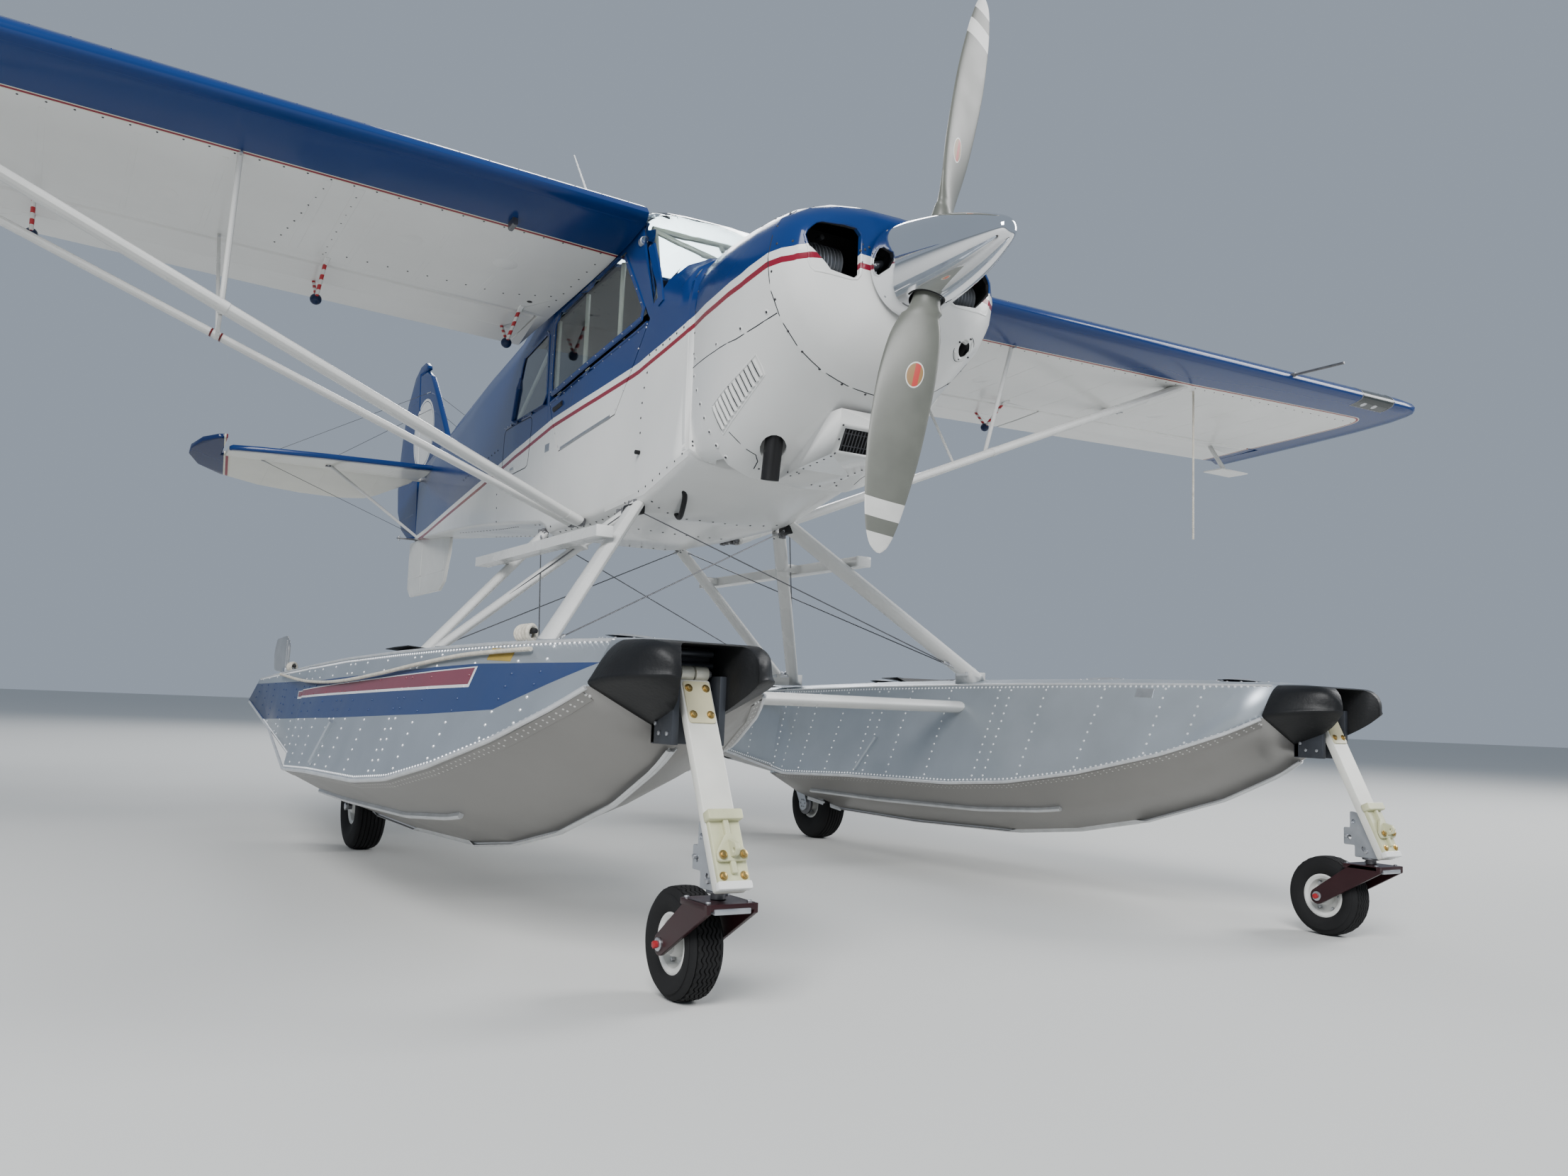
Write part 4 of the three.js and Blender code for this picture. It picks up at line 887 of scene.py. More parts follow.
VENT = Vector((291, 190, 1972))
ring = [(VENT.x + u, VENT.y, VENT.z + v) for u, v in disc(45)]
strip("vent_ring", bowl, ring, 18, 3, white_trim, airframe, 12, True)
ring_edge = [VENT.lerp(Vector(p), 1.26) for p in ring]
strip("vent_ring_edge", bowl, ring_edge, 2.5, 1.2, gap_dark, airframe, 12, True)
ring_screws = [[(255, 163, 1986)], [(308, 174, 2012)], [(279, 189, 1930)], [(335, 217, 1960)]]
studs("vent_ring_screws", bowl, ring_screws, 50, 4.5, 5.2, shaded_screw_steel, airframe)
turns = [math.radians(t) for t in range(0, 360, 8)]
bowl_back = [(470 * math.cos(a), 301, 2110 + 330 * math.sin(a)) for a in turns]
strip("bowl_seam", bowl, bowl_back, 4, 0.8, gap_dark, airframe, 40, True)
outlet = [(-214, 741, 1549), (-85, 664, 1538), (32, 756, 1523), (151, 761, 1536), (229, 753, 1549)]
box_rows = [[(-104, 353, 1662), (-103, 402, 1569)], [(104, 353, 1662), (103, 402, 1569)],
            [(-100, 430, 1556), (-100, 700, 1540)], [(100, 430, 1556), (100, 700, 1540)],
            [outlet[0], outlet[1]], [outlet[2], outlet[3]]]
studs("air_box_screws", cowl, box_rows, 46, 5, 2.2, shaded_screw_steel, airframe)
grille = [rod((x, 362, 1654), (x, 400, 1582), 2.2, shaded_screw_steel, 0.4, 12) for x in range(-84, 85, 14)]
grille += [rod((-91, y, z), (91, y, z), 2.2, shaded_screw_steel, 0.4, 12) for y, z in ((372, 1640), (392, 1600))]
joined("air_box_grille", grille, airframe)


# Engine: one plain black block bolted ahead of the cabin's front wall, seen only through the inlets,
# the vent and the outlet.
skin_of("engine_block", black)


# Propeller and spinner: grey-green metal blades with two pale tip bands and a blank oval label,
# and a polished shell screwed to a back plate, with a dark rim round each blade's opening.
# Spinner: radius, y
SPINNER = [(0, -382), (22, -379), (36, -366), (52, -336), (84, -258), (112, -170), (136, -70), (154, 30),
           (162, 90), (165, 130)]
# Blade stations: radius, chord, thickness, pitch
BLADE = [(60, 92, 92, 40), (150, 98, 78, 40), (200, 128, 56, 38), (280, 170, 36, 34), (410, 192, 27, 28),
         (540, 192, 21, 24), (700, 178, 16, 20), (860, 138, 12, 17), (950, 102, 9, 16), (1000, 66, 7, 15),
         (1020, 34, 5, 15)]
BLADE_TIP = (1027, 12, 3, 15)
BLADE_LEAN = math.radians(10.9)
LEAN_SIN = math.sin(BLADE_LEAN)
LEAN_COS = math.cos(BLADE_LEAN)
HUB_Z = 2175
HUB = at(0, 0, HUB_Z)


def smooth_profile(points, steps=5):
    """Flat points of a smooth curve through the given ones."""
    return [(p.x, p.y) for p in smooth_route([Vector(p) for p in points], steps)]


def turned(name, profile, lie, material, steps=64, angle=40):
    """A profile of [radius, height] swept round its own upright axis, then laid in place."""
    curve = bpy.data.curves.new(name, "CURVE")
    curve.dimensions = "3D"
    spline = curve.splines.new("POLY")
    spline.points.add(len(profile) - 1)
    for point, (r, h) in zip(spline.points, profile):
        point.co = (r / 1000, 0, h / 1000, 1)
    outline = bpy.data.objects.new(name, curve)
    bpy.context.collection.objects.link(outline)
    piece = meshed(outline)
    applied(piece, "SCREW", angle=2 * math.pi, steps=steps, render_steps=steps, use_merge_vertices=True,
            merge_threshold=0.00001, use_normal_calculate=True)
    piece.matrix_world = lie
    return dressed(piece, material, angle)


def axis_lie(origin, along):
    """Where a turned piece lies: its foot in drawing millimetres and the way its axis runs."""
    return Matrix.Translation(at(*origin)) @ Vector(along).to_track_quat("Z", "Y").to_matrix().to_4x4()


chrome = mottled(plain_material("polished_shell", (0.80, 0.81, 0.83), 0.05, 1), 3, 0.03)
shell = smooth_profile(SPINNER, 5)
inside = [(r - 5, y + 2) for r, y in reversed(shell) if r > 24]
backward = axis_lie((0, 0, HUB_Z), (0, 1, 0))
spinner_body = nodes["spinner"]["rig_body"]
cone = turned("cone", [*shell, (165, 134), (160, 135), *inside], backward, chrome, 96)
for end in (1, -1):
    middle = HUB + Vector((end * 0.17 * LEAN_SIN, 0.002, end * 0.17 * LEAN_COS))
    bpy.ops.mesh.primitive_cylinder_add(vertices=40, radius=0.058, depth=0.3, location=middle,
                                        rotation=(0, BLADE_LEAN, 0))
    cutter = bpy.context.object
    applied(cone, "BOOLEAN", operation="DIFFERENCE", object=cutter, solver="EXACT")
    bpy.data.objects.remove(cutter)
dressed(cone, chrome, 40)
BACK_PLATE = [(0, 122), (158, 122), (163, 124), (163, 136), (158, 138), (50, 138)]
rear_plate = turned("rear_plate", BACK_PLATE, backward, alloy, 96)
spinner = joined("spinner_shell", [cone, rear_plate], spinner_body, "spinner")
shell_near = surface_of(spinner)
angles = [math.radians(15 + 30 * k) for k in range(12)]
studs("spinner_screws", shell_near, [
    [(164 * math.sin(a), 112, HUB_Z + 164 * math.cos(a))] for a in angles], 50, 5.5, 1.6, zinc, spinner_body)
for end, name in ((1, "up"), (-1, "down")):
    out = 140 * end
    rim = [(u * LEAN_COS + out * LEAN_SIN, v + 2, HUB_Z + out * LEAN_COS - u * LEAN_SIN)
           for u, v in disc(63, sides=32)]
    strip(f"blade_rim_{name}", shell_near, rim, 7, 1.0, black, spinner_body, 10, True)

BLADE_BAND = (0.60, 0.60, 0.57)
LABEL_AWAY = 415
LABEL_HALF_WIDTH = 24
LABEL_HALF_HEIGHT = 41
blade_paint = plain_material("blade_paint", (0.125, 0.13, 0.112), 0.40)
x, y, z = drawing_axes(blade_paint)
away = ((x * x) + (z - HUB_Z) * (z - HUB_Z)).step("SQRT")
paint_over(blade_paint, away > 965, BLADE_BAND)
paint_over(blade_paint, away.inside(854, 916), BLADE_BAND)
across = (x * LEAN_COS) - ((z - HUB_Z) * LEAN_SIN)
label_u = (across * (1 / LABEL_HALF_WIDTH)).step("POWER", 2)
label_v = ((away - LABEL_AWAY) * (1 / LABEL_HALF_HEIGHT)).step("POWER", 2)
label = label_u + label_v + ((y > 8) * 9)
paint_over(blade_paint, label < 1.25, (0.62, 0.62, 0.58))
paint_over(blade_paint, label < 1, (0.27, 0.15, 0.05))
paint_over(blade_paint, (label < 1) * across.inside(-3, 13), (0.45, 0.03, 0.02))
mottled(blade_paint, 9, 0.14, 0.0002, 60)
propeller_body = nodes["propeller"]["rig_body"]


def blade_ring(radius, chord, thick, pitch, sides=28):
    """Round at the root, then an airfoil: blunt ahead, fine behind, nearly flat on its rear face."""
    flat = min(1, max(0, (radius - 150) / 150))
    pitch = math.radians(pitch)
    ring = []
    for k in range(sides):
        a = 2 * math.pi * k / sides
        lead = math.cos(a)
        bulge = 1 + 0.25 * flat * lead
        face = 1 if math.sin(a) > 0 else 1 - 0.45 * flat
        along = chord * lead / 2 - (0 if radius < 200 else chord * 0.08)
        out = thick * math.sin(a) / 2 * bulge * face
        ring.append(Vector((-along * math.cos(pitch) + out * math.sin(pitch),
                            -along * math.sin(pitch) - out * math.cos(pitch), radius)) / 1000)
    return ring


def bridged(count, size):
    """Faces between rings of points, and over the first and the last ring."""
    walls = [[k * size + j, k * size + (j + 1) % size, (k + 1) * size + (j + 1) % size, (k + 1) * size + j]
             for k in range(count - 1) for j in range(size)]
    return [*walls, list(reversed(range(size))), [(count - 1) * size + j for j in range(size)]]


stations = [*smooth_route([Vector(row) for row in BLADE], 5), Vector(BLADE_TIP)]
rings = [blade_ring(*station) for station in stations]
corners = [corner for ring_points in rings for corner in ring_points]
faces = bridged(len(rings), len(rings[0]))
blades = []
for turn in (0, math.pi):
    lie = Matrix.Translation(HUB) @ Matrix.Rotation(BLADE_LEAN + turn, 4, "Y")
    blades.append(from_rows("blade", [lie @ corner for corner in corners], faces, blade_paint, 60))
hub = rod((0, -58, HUB_Z), (0, 100, HUB_Z), 61, steel, 4, 48)
shaft = rod((0, 90, HUB_Z), (0, 330, HUB_Z), 42, steel, 2, 40)
clamps = []
for end in (1, -1):
    near, far = [(end * r * LEAN_SIN, 0, HUB_Z + end * r * LEAN_COS) for r in (70, 118)]
    clamps.append(rod(near, far, 50, steel, 3, 40))
joined("propeller_blades", [*blades, hub, shaft, *clamps], propeller_body, "propeller")


# Wheels: dark rubber tyres on pale cast rims. The tread's grooves are turned with the tyre, and the
# nose tyres' grooves are then set to and fro into a zigzag; the main tyres' stay straight.
rubber = mottled(plain_material("tyre_rubber", (0.012, 0.012, 0.0125), 0.8), 14, 0.3, 0.0003, 120)
shader_of(rubber).inputs["Specular IOR Level"].default_value = 0.25
hub_paint = mottled(painted("hub_paint", (0.68, 0.68, 0.65), 0.35), 20, 0.15)


def tyre_profile(radius, half, rim, ribs, groove):
    """From bead to bead, [radius, place across], with straight grooves between the ribs."""
    middle = (rim + radius) / 2
    wall = [(rim + 0.4, 0.70), (rim + 3, 0.80), (middle - 8, 0.985), (middle + 10, 1.0),
            (radius - 18, 0.93), (radius - 9, 0.82), (radius - 4, 0.70)]
    shoulder = smooth_profile([(r, -t * half) for r, t in wall], 3)
    tread = []
    for k in range(ribs):
        low, high = -0.64 + 1.28 * k / ribs, -0.64 + 1.28 * (k + 1) / ribs
        crown = [radius - 6 * t * t for t in (low, high)]
        tread += [(crown[0] - groove, low * half + 1.2), (crown[0], low * half + 2.0),
                  (crown[1], high * half - 2.0), (crown[1] - groove, high * half - 1.2)]
    far = [(r, -h) for r, h in reversed(shoulder)]
    return [*shoulder, *tread, *far]


TREAD_STEPS = 128
ZIGZAG = (0.0026, 0.0026, -0.0026, -0.0026)


def wheel(kind, name, centre, radius, half, rim, bore, zigzag):
    """A tyre and its rim, both turned about the axle; six nuts stand on each side of the dish."""
    across = axis_lie(centre, (1, 0, 0))
    body = nodes[f"{kind}_tyre_{name}"]["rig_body"]
    cx = centre[0]
    tread = turned("tread", tyre_profile(radius, half, rim, 5, 5), across, rubber, TREAD_STEPS, 35)
    if zigzag:
        for corner in tread.data.vertices:
            x, y, z = corner.co * 1000 - at(*centre) * 1000
            if math.hypot(y, z) > radius - 12 and abs(x) < half * 0.6:
                turn = round(math.atan2(z, y) / (2 * math.pi) * TREAD_STEPS)
                corner.co.x += ZIGZAG[turn % 4]
    joined(f"tyre_{kind}_{name}", [tread], body, f"{kind}_tyre_{name}")
    dish = [(bore, -half * 0.78), (bore + 12, -half * 0.8), (bore + 16, -half * 0.7),
            (bore + 19, -half * 0.24), (rim * 0.6, -half * 0.14), (rim * 0.72, -half * 0.16),
            (rim * 0.80, -half * 0.66), (rim * 0.93, -half * 0.76), (rim, -half * 0.74),
            (rim + 3, -half * 0.70), (rim - 2, -half * 0.6)]
    other = [(r, -h) for r, h in reversed(dish)]
    parts = [turned("dish", [*dish, *other, dish[0]], across, hub_paint, 56, 35)]
    for hand in (-1, 1):
        inner, outer = cx + hand * half * 0.2, cx + hand * half * 0.42
        for k in range(6):
            a = 2 * math.pi * k / 6
            y, z = centre[1] + rim * 0.66 * math.cos(a), centre[2] + rim * 0.66 * math.sin(a)
            parts.append(rod((inner, y, z), (outer, y, z), rim * 0.07, zinc, 0.5, 6))
    joined(f"rim_{kind}_{name}", parts, body, f"{kind}_rim_{name}")


# Nose gear: a flat cream-painted leg under a steel knuckle, with brass bolts, a bolted casting and tow lug,
# a stepped alloy bracket behind its foot, and a dark red castoring fork turned by a steel pin.
leg_white = mottled(painted("leg_white", (0.66, 0.655, 0.60), 0.3), 9, 0.14, 0.0003, 40)
leg_cream = mottled(painted("leg_cream", (0.58, 0.54, 0.36), 0.3), 12, 0.12, 0.0002, 60)
casting_cream = mottled(painted("casting_cream", (0.56, 0.56, 0.36), 0.4), 16, 0.18, 0.0004, 90)
knuckle_cream = mottled(plain_material("knuckle_alloy", (0.55, 0.54, 0.46), 0.38, 0.4), 20, 0.15, 0.0002, 90)
maroon = mottled(painted("fork_maroon", (0.026, 0.008, 0.010), 0.34), 14, 0.2)
dark_steel = mottled(plain_material("dark_steel", (0.045, 0.05, 0.06), 0.45, 0.5), 16, 0.25, 0.0002, 70)
red_nut = mottled(painted("red_nut", (0.33, 0.02, 0.025), 0.35), 20, 0.1)
NOSE_AXLE = (-652, 126)
MAIN_AXLE = (2349, 180)
LEG_TOP = Vector((-648, 716))
LEG_RUN = Vector((-220, -444)).normalized()


def leg_place(cx, across, down, out):
    """A place on the leg: across it, down its front face, and out from that face."""
    y, z = LEG_TOP + LEG_RUN * down + Vector((LEG_RUN.y, -LEG_RUN.x)) * out
    return (cx + across, y, z)


def leg_lie(cx, down, out):
    """Where a flat outline lies on the leg's front face."""
    return plane(leg_place(cx, 0, down, out), (1, 0, 0), (0, -LEG_RUN.x, -LEG_RUN.y))


def leg_bolt(cx, across, down, out, radius=6.5):
    """A brass bolt head on its washer."""
    below, low, seat, high = [leg_place(cx, across, down, out + up) for up in (-1, 0, 1.4, radius * 0.9)]
    return [rod(below, seat, radius * 1.5, brass, 0.4, 20), rod(low, high, radius, brass, 0.7, 6)]


def side_lie(x):
    """Where an outline of y and height lies, upright and along the aircraft."""
    return plane((x, 0, 0), (0, 1, 0), (0, 0, 1))


def framed(low, high):
    """The four corners of a flat box."""
    return [low, (high[0], low[1]), high, (low[0], high[1])]


CASTING = [(-38, -85), (38, -85), (38, 60), (30, 78), (30, 85), (-30, 85), (-30, 78), (-38, 60)]
TOW_LUG = [(-37, -22), (37, -22), (37, -2), (9, 38), (-9, 38), (-37, -2)]
HEEL = [(-778, 398), (-744, 404), (-744, 352), (-722, 352), (-722, 298), (-760, 298), (-760, 262),
        (-846, 262)]
MAIN_LEG = [(2314, 186), (2322, 152), (2349, 140), (2376, 152), (2384, 186), (2470, 330), (2470, 409.5),
            (2380, 409.5), (2380, 340)]
for hand, name in ((1, "port"), (-1, "starboard")):
    cx = hand * FLOAT_X
    leg = [plate([rounded(framed((-39, -249), (39, 246)), 8)], leg_lie(cx, 248, -12), 24, leg_white, 3)]
    leg.append(plate([rounded(framed((-34, 0), (34, 104)), 8)], leg_lie(cx, 112, 1.5), 5, leg_cream, 1))
    for across in (-22, 22):
        for down in (26, 92):
            leg += leg_bolt(cx, across, down, 4)
    leg.append(rod((cx - 36, -638, 728), (cx - 2, -638, 728), 17.5, knuckle_cream, 3, 32))
    leg.append(rod((cx + 2, -638, 728), (cx + 36, -638, 728), 17.5, knuckle_cream, 3, 32))
    leg.append(rod((cx - 46, -638, 728), (cx + 46, -638, 728), 8, zinc, 1, 20))
    leg.append(block((cx - 27, -640, 706), (cx - 2, -592.4, 746), knuckle_cream, 3))
    leg.append(block((cx + 2, -640, 706), (cx + 27, -592.4, 746), knuckle_cream, 3))
    leg.append(plate([rounded(CASTING, 7)], leg_lie(cx, 408, 4.5), 13, casting_cream, 2.5))
    for low, high, corner, down, out, thick, bevel in [
            ((-43, -12), (43, 12), 6, 336, 13, 26, 3), ((-6, -64), (6, 56), 3, 402, 15, 12, 2)]:
        outline = rounded(framed(low, high), corner)
        leg.append(plate([outline], leg_lie(cx, down, out), thick, casting_cream, bevel))
    leg.append(plate([rounded(TOW_LUG, 9)], leg_lie(cx, 418, 18), 9, casting_cream, 2))
    eye = [leg_place(cx, 0, down, out)[1:]
           for down, out in ((388, 21), (432, 21), (434, 40), (424, 50), (410, 48))]
    eye_hole = disc(5, *leg_place(cx, 0, 422, 38)[1:])
    leg.append(plate([rounded(eye, 6), eye_hole], side_lie(cx), 11, casting_cream, 1.5))
    for across in (-25, 25):
        leg += leg_bolt(cx, across, 427, 26)
        leg += leg_bolt(cx, across, 469, 11)
    leg.append(plate([rounded(framed((-41, -9), (41, 9)), 4)], leg_lie(cx, 489, 4), 18, white_trim, 2))
    heel_holes = [disc(7, -756, 372), disc(7, -742, 322), disc(7, -790, 290)]
    for x in (-20.5, 20.5):
        leg.append(plate([rounded(HEEL, 5), *heel_holes], side_lie(cx + x), 7, alloy, 1))
    leg.append(block((cx - 18, -766, 300), (cx + 18, -748, 392), alloy, 2))
    leg.append(rod((cx - 30, -734, 326), (cx + 30, -734, 326), 6, zinc, 1, 6))
    leg.append(rod((cx - 30, -800, 282), (cx + 30, -800, 282), 7, zinc, 1, 6))
    leg.append(rod((cx, -800, 243), (cx, -800, 275), 16, steel, 1, 28))
    leg.append(rod((cx, -800, 256), (cx, -800, 262), 26, steel, 1.5, 28))
    joined(f"nose_leg_fine_{name}", leg, nodes[f"nose_leg_{name}"]["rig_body"], f"nose_leg_{name}")

    fork_body = nodes[f"castor_fork_{name}"]["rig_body"]
    crown = rounded(framed((-62, -65), (62, 65)), 12)
    fork = [plate([crown, disc(16.5)], plane((cx, -803, 235), (1, 0, 0), (0, 1, 0)), 14, maroon, 2)]
    turns = [math.radians(a) for a in range(-128, 63, 19)]
    eye = [(NOSE_AXLE[0] + 25 * math.cos(a), NOSE_AXLE[1] + 25 * math.sin(a)) for a in turns]
    arm = [(-868, 242), (-868, 222), *eye, (-772, 242)]
    for x in (-57, 57):
        inner, face, washer, seat, nut = [
            (cx + x * out, *NOSE_AXLE) for out in (0.78, 0.94, 1.05, 1.16, 1.34)]
        fork.append(plate([arm], side_lie(cx + x), 10, maroon, 1.5))
        fork.append(rod(washer, seat, 15, zinc, 1, 28))
        fork.append(rod(seat, nut, 9, red_nut, 1.5, 6))
        fork.append(rod(inner, face, 15, zinc, 1, 28))
    fork.append(rod((cx - 56, *NOSE_AXLE), (cx + 56, *NOSE_AXLE), 11, steel, 1, 24))
    fork.append(rod((cx, -800, 214), (cx, -800, 232), 30, steel, 2, 36))
    fork.append(block((cx - 46, -873, 221), (cx + 42, -860, 233), alloy, 2))
    for x in (-50, 50):
        fork.append(rod((cx + x, -850, 240), (cx + x, -850, 246), 6, zinc, 0.7, 6))
        fork.append(rod((cx + x, -752, 240), (cx + x, -752, 246), 6, zinc, 0.7, 6))
    joined(f"castor_fork_fine_{name}", fork, fork_body, f"castor_fork_{name}")
    wheel("nose", name, (cx, *NOSE_AXLE), radius=126, half=43, rim=68, bore=12, zigzag=True)
    wheel("main", name, (cx, *MAIN_AXLE), radius=180, half=63, rim=76, bore=14, zigzag=False)

    leg_body = nodes[f"main_leg_{name}"]["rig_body"]
    shank, disc_face, nut_seat, nut_end, outer = [
        (cx - hand * x, *MAIN_AXLE) for x in (84, 71, -64, -78, -72)]
    gear = [plate([rounded(MAIN_LEG, 14)], side_lie(cx - hand * 89), 18, alloy, 2),
            rod(shank, outer, 13, steel, 1), rod(shank, disc_face, 57, steel, 2, 40),
            rod(nut_seat, nut_end, 17, zinc, 2, 6)]
    for k in range(6):
        a = 2 * math.pi * k / 6
        y, z = MAIN_AXLE[0] + 20 * math.cos(a), MAIN_AXLE[1] + 20 * math.sin(a)
        gear.append(rod((cx - hand * 97, y, z), (cx - hand * 102, y, z), 4, zinc, 0.5, 6))
    gear.append(block((cx - hand * 98 - 6, 2396, 240), (cx - hand * 98 + 6, 2424, 292), steel, 2))
    joined(f"main_leg_fine_{name}", gear, leg_body, f"main_leg_{name}")


# Bumpers: black moulded rubber noses on the floats, rounded all over, split by a slot for the nose leg. Dark
# steel plates and cross rods line the slot, and the plates are bolted through their sides.
bumper_rubber = mottled(plain_material("bumper_rubber", (0.007, 0.0075, 0.0085), 0.46), 7, 0.3, 0.0010, 110)
shader_of(bumper_rubber).inputs["Specular IOR Level"].default_value = 0.28
# Bumper stations: y, top, deck half width, chine height, chine half width, keel height
BUMPER = [(-573.3, 800, 176, 690, 230, 572), (-625, 800, 175, 700, 217, 590), (-675, 799, 168, 706, 197, 609),
          (-715, 796, 156, 710, 175, 627), (-745, 786, 141, 712, 151, 644), (-764, 768, 122, 714, 130, 662)]


def bumper_ring(y, top, deck, chine_z, chine, keel):
    """A station's outline, from the keel up the port side and down the starboard one."""
    half = [(0, keel), (chine * 0.5, (keel + chine_z) / 2), (chine * 0.86, chine_z - (chine_z - keel) * 0.13),
            (chine, chine_z + 4), (chine * 0.965, chine_z + (top - chine_z) * 0.22),
            (chine + (deck - chine) * 0.8, chine_z + (top - chine_z) * 0.72), (deck * 0.88, top - 4),
            (deck * 0.7, top), (0, top)]
    ring = smooth_profile(half, 3)
    left = [(-x, z) for x, z in reversed(ring[1:-1])]
    return [Vector((x, y, z)) for x, z in [*ring, *left]]


SLOT_SIDE = [(-67, -590), (-67, -680), (-76, -718), (-98, -768), (-112, -900)]
SLOT = [*SLOT_SIDE, *[(-x, y) for x, y in reversed(SLOT_SIDE)]]
for hand, name in ((1, "port"), (-1, "starboard")):
    cx = hand * FLOAT_X
    rows = smooth_route([Vector(row) for row in BUMPER], 4)
    rows += [rows[-1] + Vector((-6, -12, -9, 0, -9, 12)), rows[-1] + Vector((-9, -27, -22, -2, -22, 26))]
    rings = [bumper_ring(*row) for row in rows]
    corners = [at(cx + p.x, p.y, p.z) for ring in rings for p in ring]
    nose = from_rows("nose", corners, bridged(len(rings), len(rings[0])), bumper_rubber, 180)
    faced_out(nose)
    slot = plate([SLOT], plane((cx, 0, 646), (1, 0, 0), (0, 1, 0)), 292, bumper_rubber, 8)
    faced_out(slot, merge=0.00001)
    applied(nose, "BOOLEAN", operation="DIFFERENCE", object=slot, solver="MANIFOLD")
    bpy.data.objects.remove(slot)
    applied(nose, "BEVEL", width=0.004, segments=2, angle_limit=math.radians(50))
    dressed(nose, bumper_rubber, 45)
    parts = [nose, block((cx - 68, -680, 565), (cx - 50, -573.4, 724), dark_steel, 3),
             block((cx + 50, -680, 565), (cx + 68, -573.4, 724), dark_steel, 3),
             block((cx - 68, -592, 565), (cx + 68, -573.4, 790), dark_steel, 2)]
    parts += [rod((cx - 64, -612, z), (cx + 64, -612, z), 8, dark_steel, 1) for z in (748, 776)]
    for x in (-68, 68):
        for y, z in ((-660, 590), (-620, 590), (-600, 612)):
            parts.append(rod((cx + x, y, z), (cx + x * 1.07, y, z), 5.5, zinc, 0.6, 6))
    joined(f"bumper_fine_{name}", parts, nodes[f"bumper_{name}"]["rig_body"], f"bumper_{name}")


# Wings: painted panels with a blue nose and tip, rib tapes and screwed covers. Flaps and ailerons hang from
# brackets wound with red and white tape, each with a blue ball. The port nose holds a lamp lens and a steel
# pitot tube, and a whip aerial stands on the roof.
ROOT_X = 396
TIP_X = 5411
ROOT_NOSE = (1430, 2722)
TIP_NOSE = (1474, 2842)
ROOT_PITCH = 7
TIP_PITCH = 4.6
CHORD = 1570
LEADING_EDGE = [[ROOT_X, ROOT_NOSE[0]], [TIP_X, TIP_NOSE[0]]]
# Width of the blue nose along the span, the line where the blue tip starts, and the turn between them
BAND = [[396, 305], [2000, 290], [3400, 275], [4700, 232], [5090, 222]]
TIP_LINE = 5085
CORNER = 130
LENS = (4700, 5040)
LENS_DEEP = 105
LENS_GREY = (0.035, 0.042, 0.042)


def wing_paint(name):
    """Blue along the nose and tip, a cream-edged dark red line inside it, white between."""
    material = painted(name, WHITE)
    x, y, z = drawing_axes(material)
    span = x.size()
    behind = y - span.along(LEADING_EDGE) - span.along(BAND)
    inboard = (span * -1) + TIP_LINE
    round_y = (behind * -1 + CORNER).step("MAXIMUM", 0)
    round_x = (inboard * -1 + CORNER).step("MAXIMUM", 0)
    corner = (round_y * round_y + round_x * round_x).step("SQRT")
    edge = corner * -1 + CORNER
    paint_over(material, edge < 26, CREAM)
    paint_over(material, edge.inside(6, 20), RED)
    paint_over(material, edge < 0, BLUE)
    from_nose = y - span.along(LEADING_EDGE)
    paint_over(material, x.inside(*LENS) * (from_nose < LENS_DEEP), LENS_GREY)
    return mottled(material, 1.8, 0.07, 0.0008, 2.5)


wing_finish = wing_paint("wing_paint")
wing_skins = {}
for name in ("port", "starboard"):
    for part in ("wing", "flap", "aileron"):
        wing_skins[part, name] = skin_of(f"{part}_{name}", wing_finish)


def wing_place(x, along, above):
    """A place by span, chord fraction behind the nose and height as a chord fraction."""
    t = (abs(x) - ROOT_X) / (TIP_X - ROOT_X)
    pitch = math.radians(ROOT_PITCH + (TIP_PITCH - ROOT_PITCH) * t)
    run, rise = along * CHORD, above * CHORD
    nose_y = ROOT_NOSE[0] + (TIP_NOSE[0] - ROOT_NOSE[0]) * t
    nose_z = ROOT_NOSE[1] + (TIP_NOSE[1] - ROOT_NOSE[1]) * t
    return (x, nose_y + run * math.cos(pitch) + rise * math.sin(pitch),
            nose_z - run * math.sin(pitch) + rise * math.cos(pitch))


taped = plain_material("taped_arm", (0.66, 0.65, 0.62), 0.4)
x, y, z = drawing_axes(taped)
TAPE_PITCH = 34
paint_over(taped, (z * (1 / TAPE_PITCH)).step("FRACT") > 0.5, (0.42, 0.012, 0.02))
mottled(taped, 20, 0.12)
ball_blue = mottled(painted("ball_blue", (0.008, 0.022, 0.07), 0.3), 20, 0.2)
BRACKETS = (560, 1470, 2600)
HALF_FOOT = Vector((0, 26, 0))
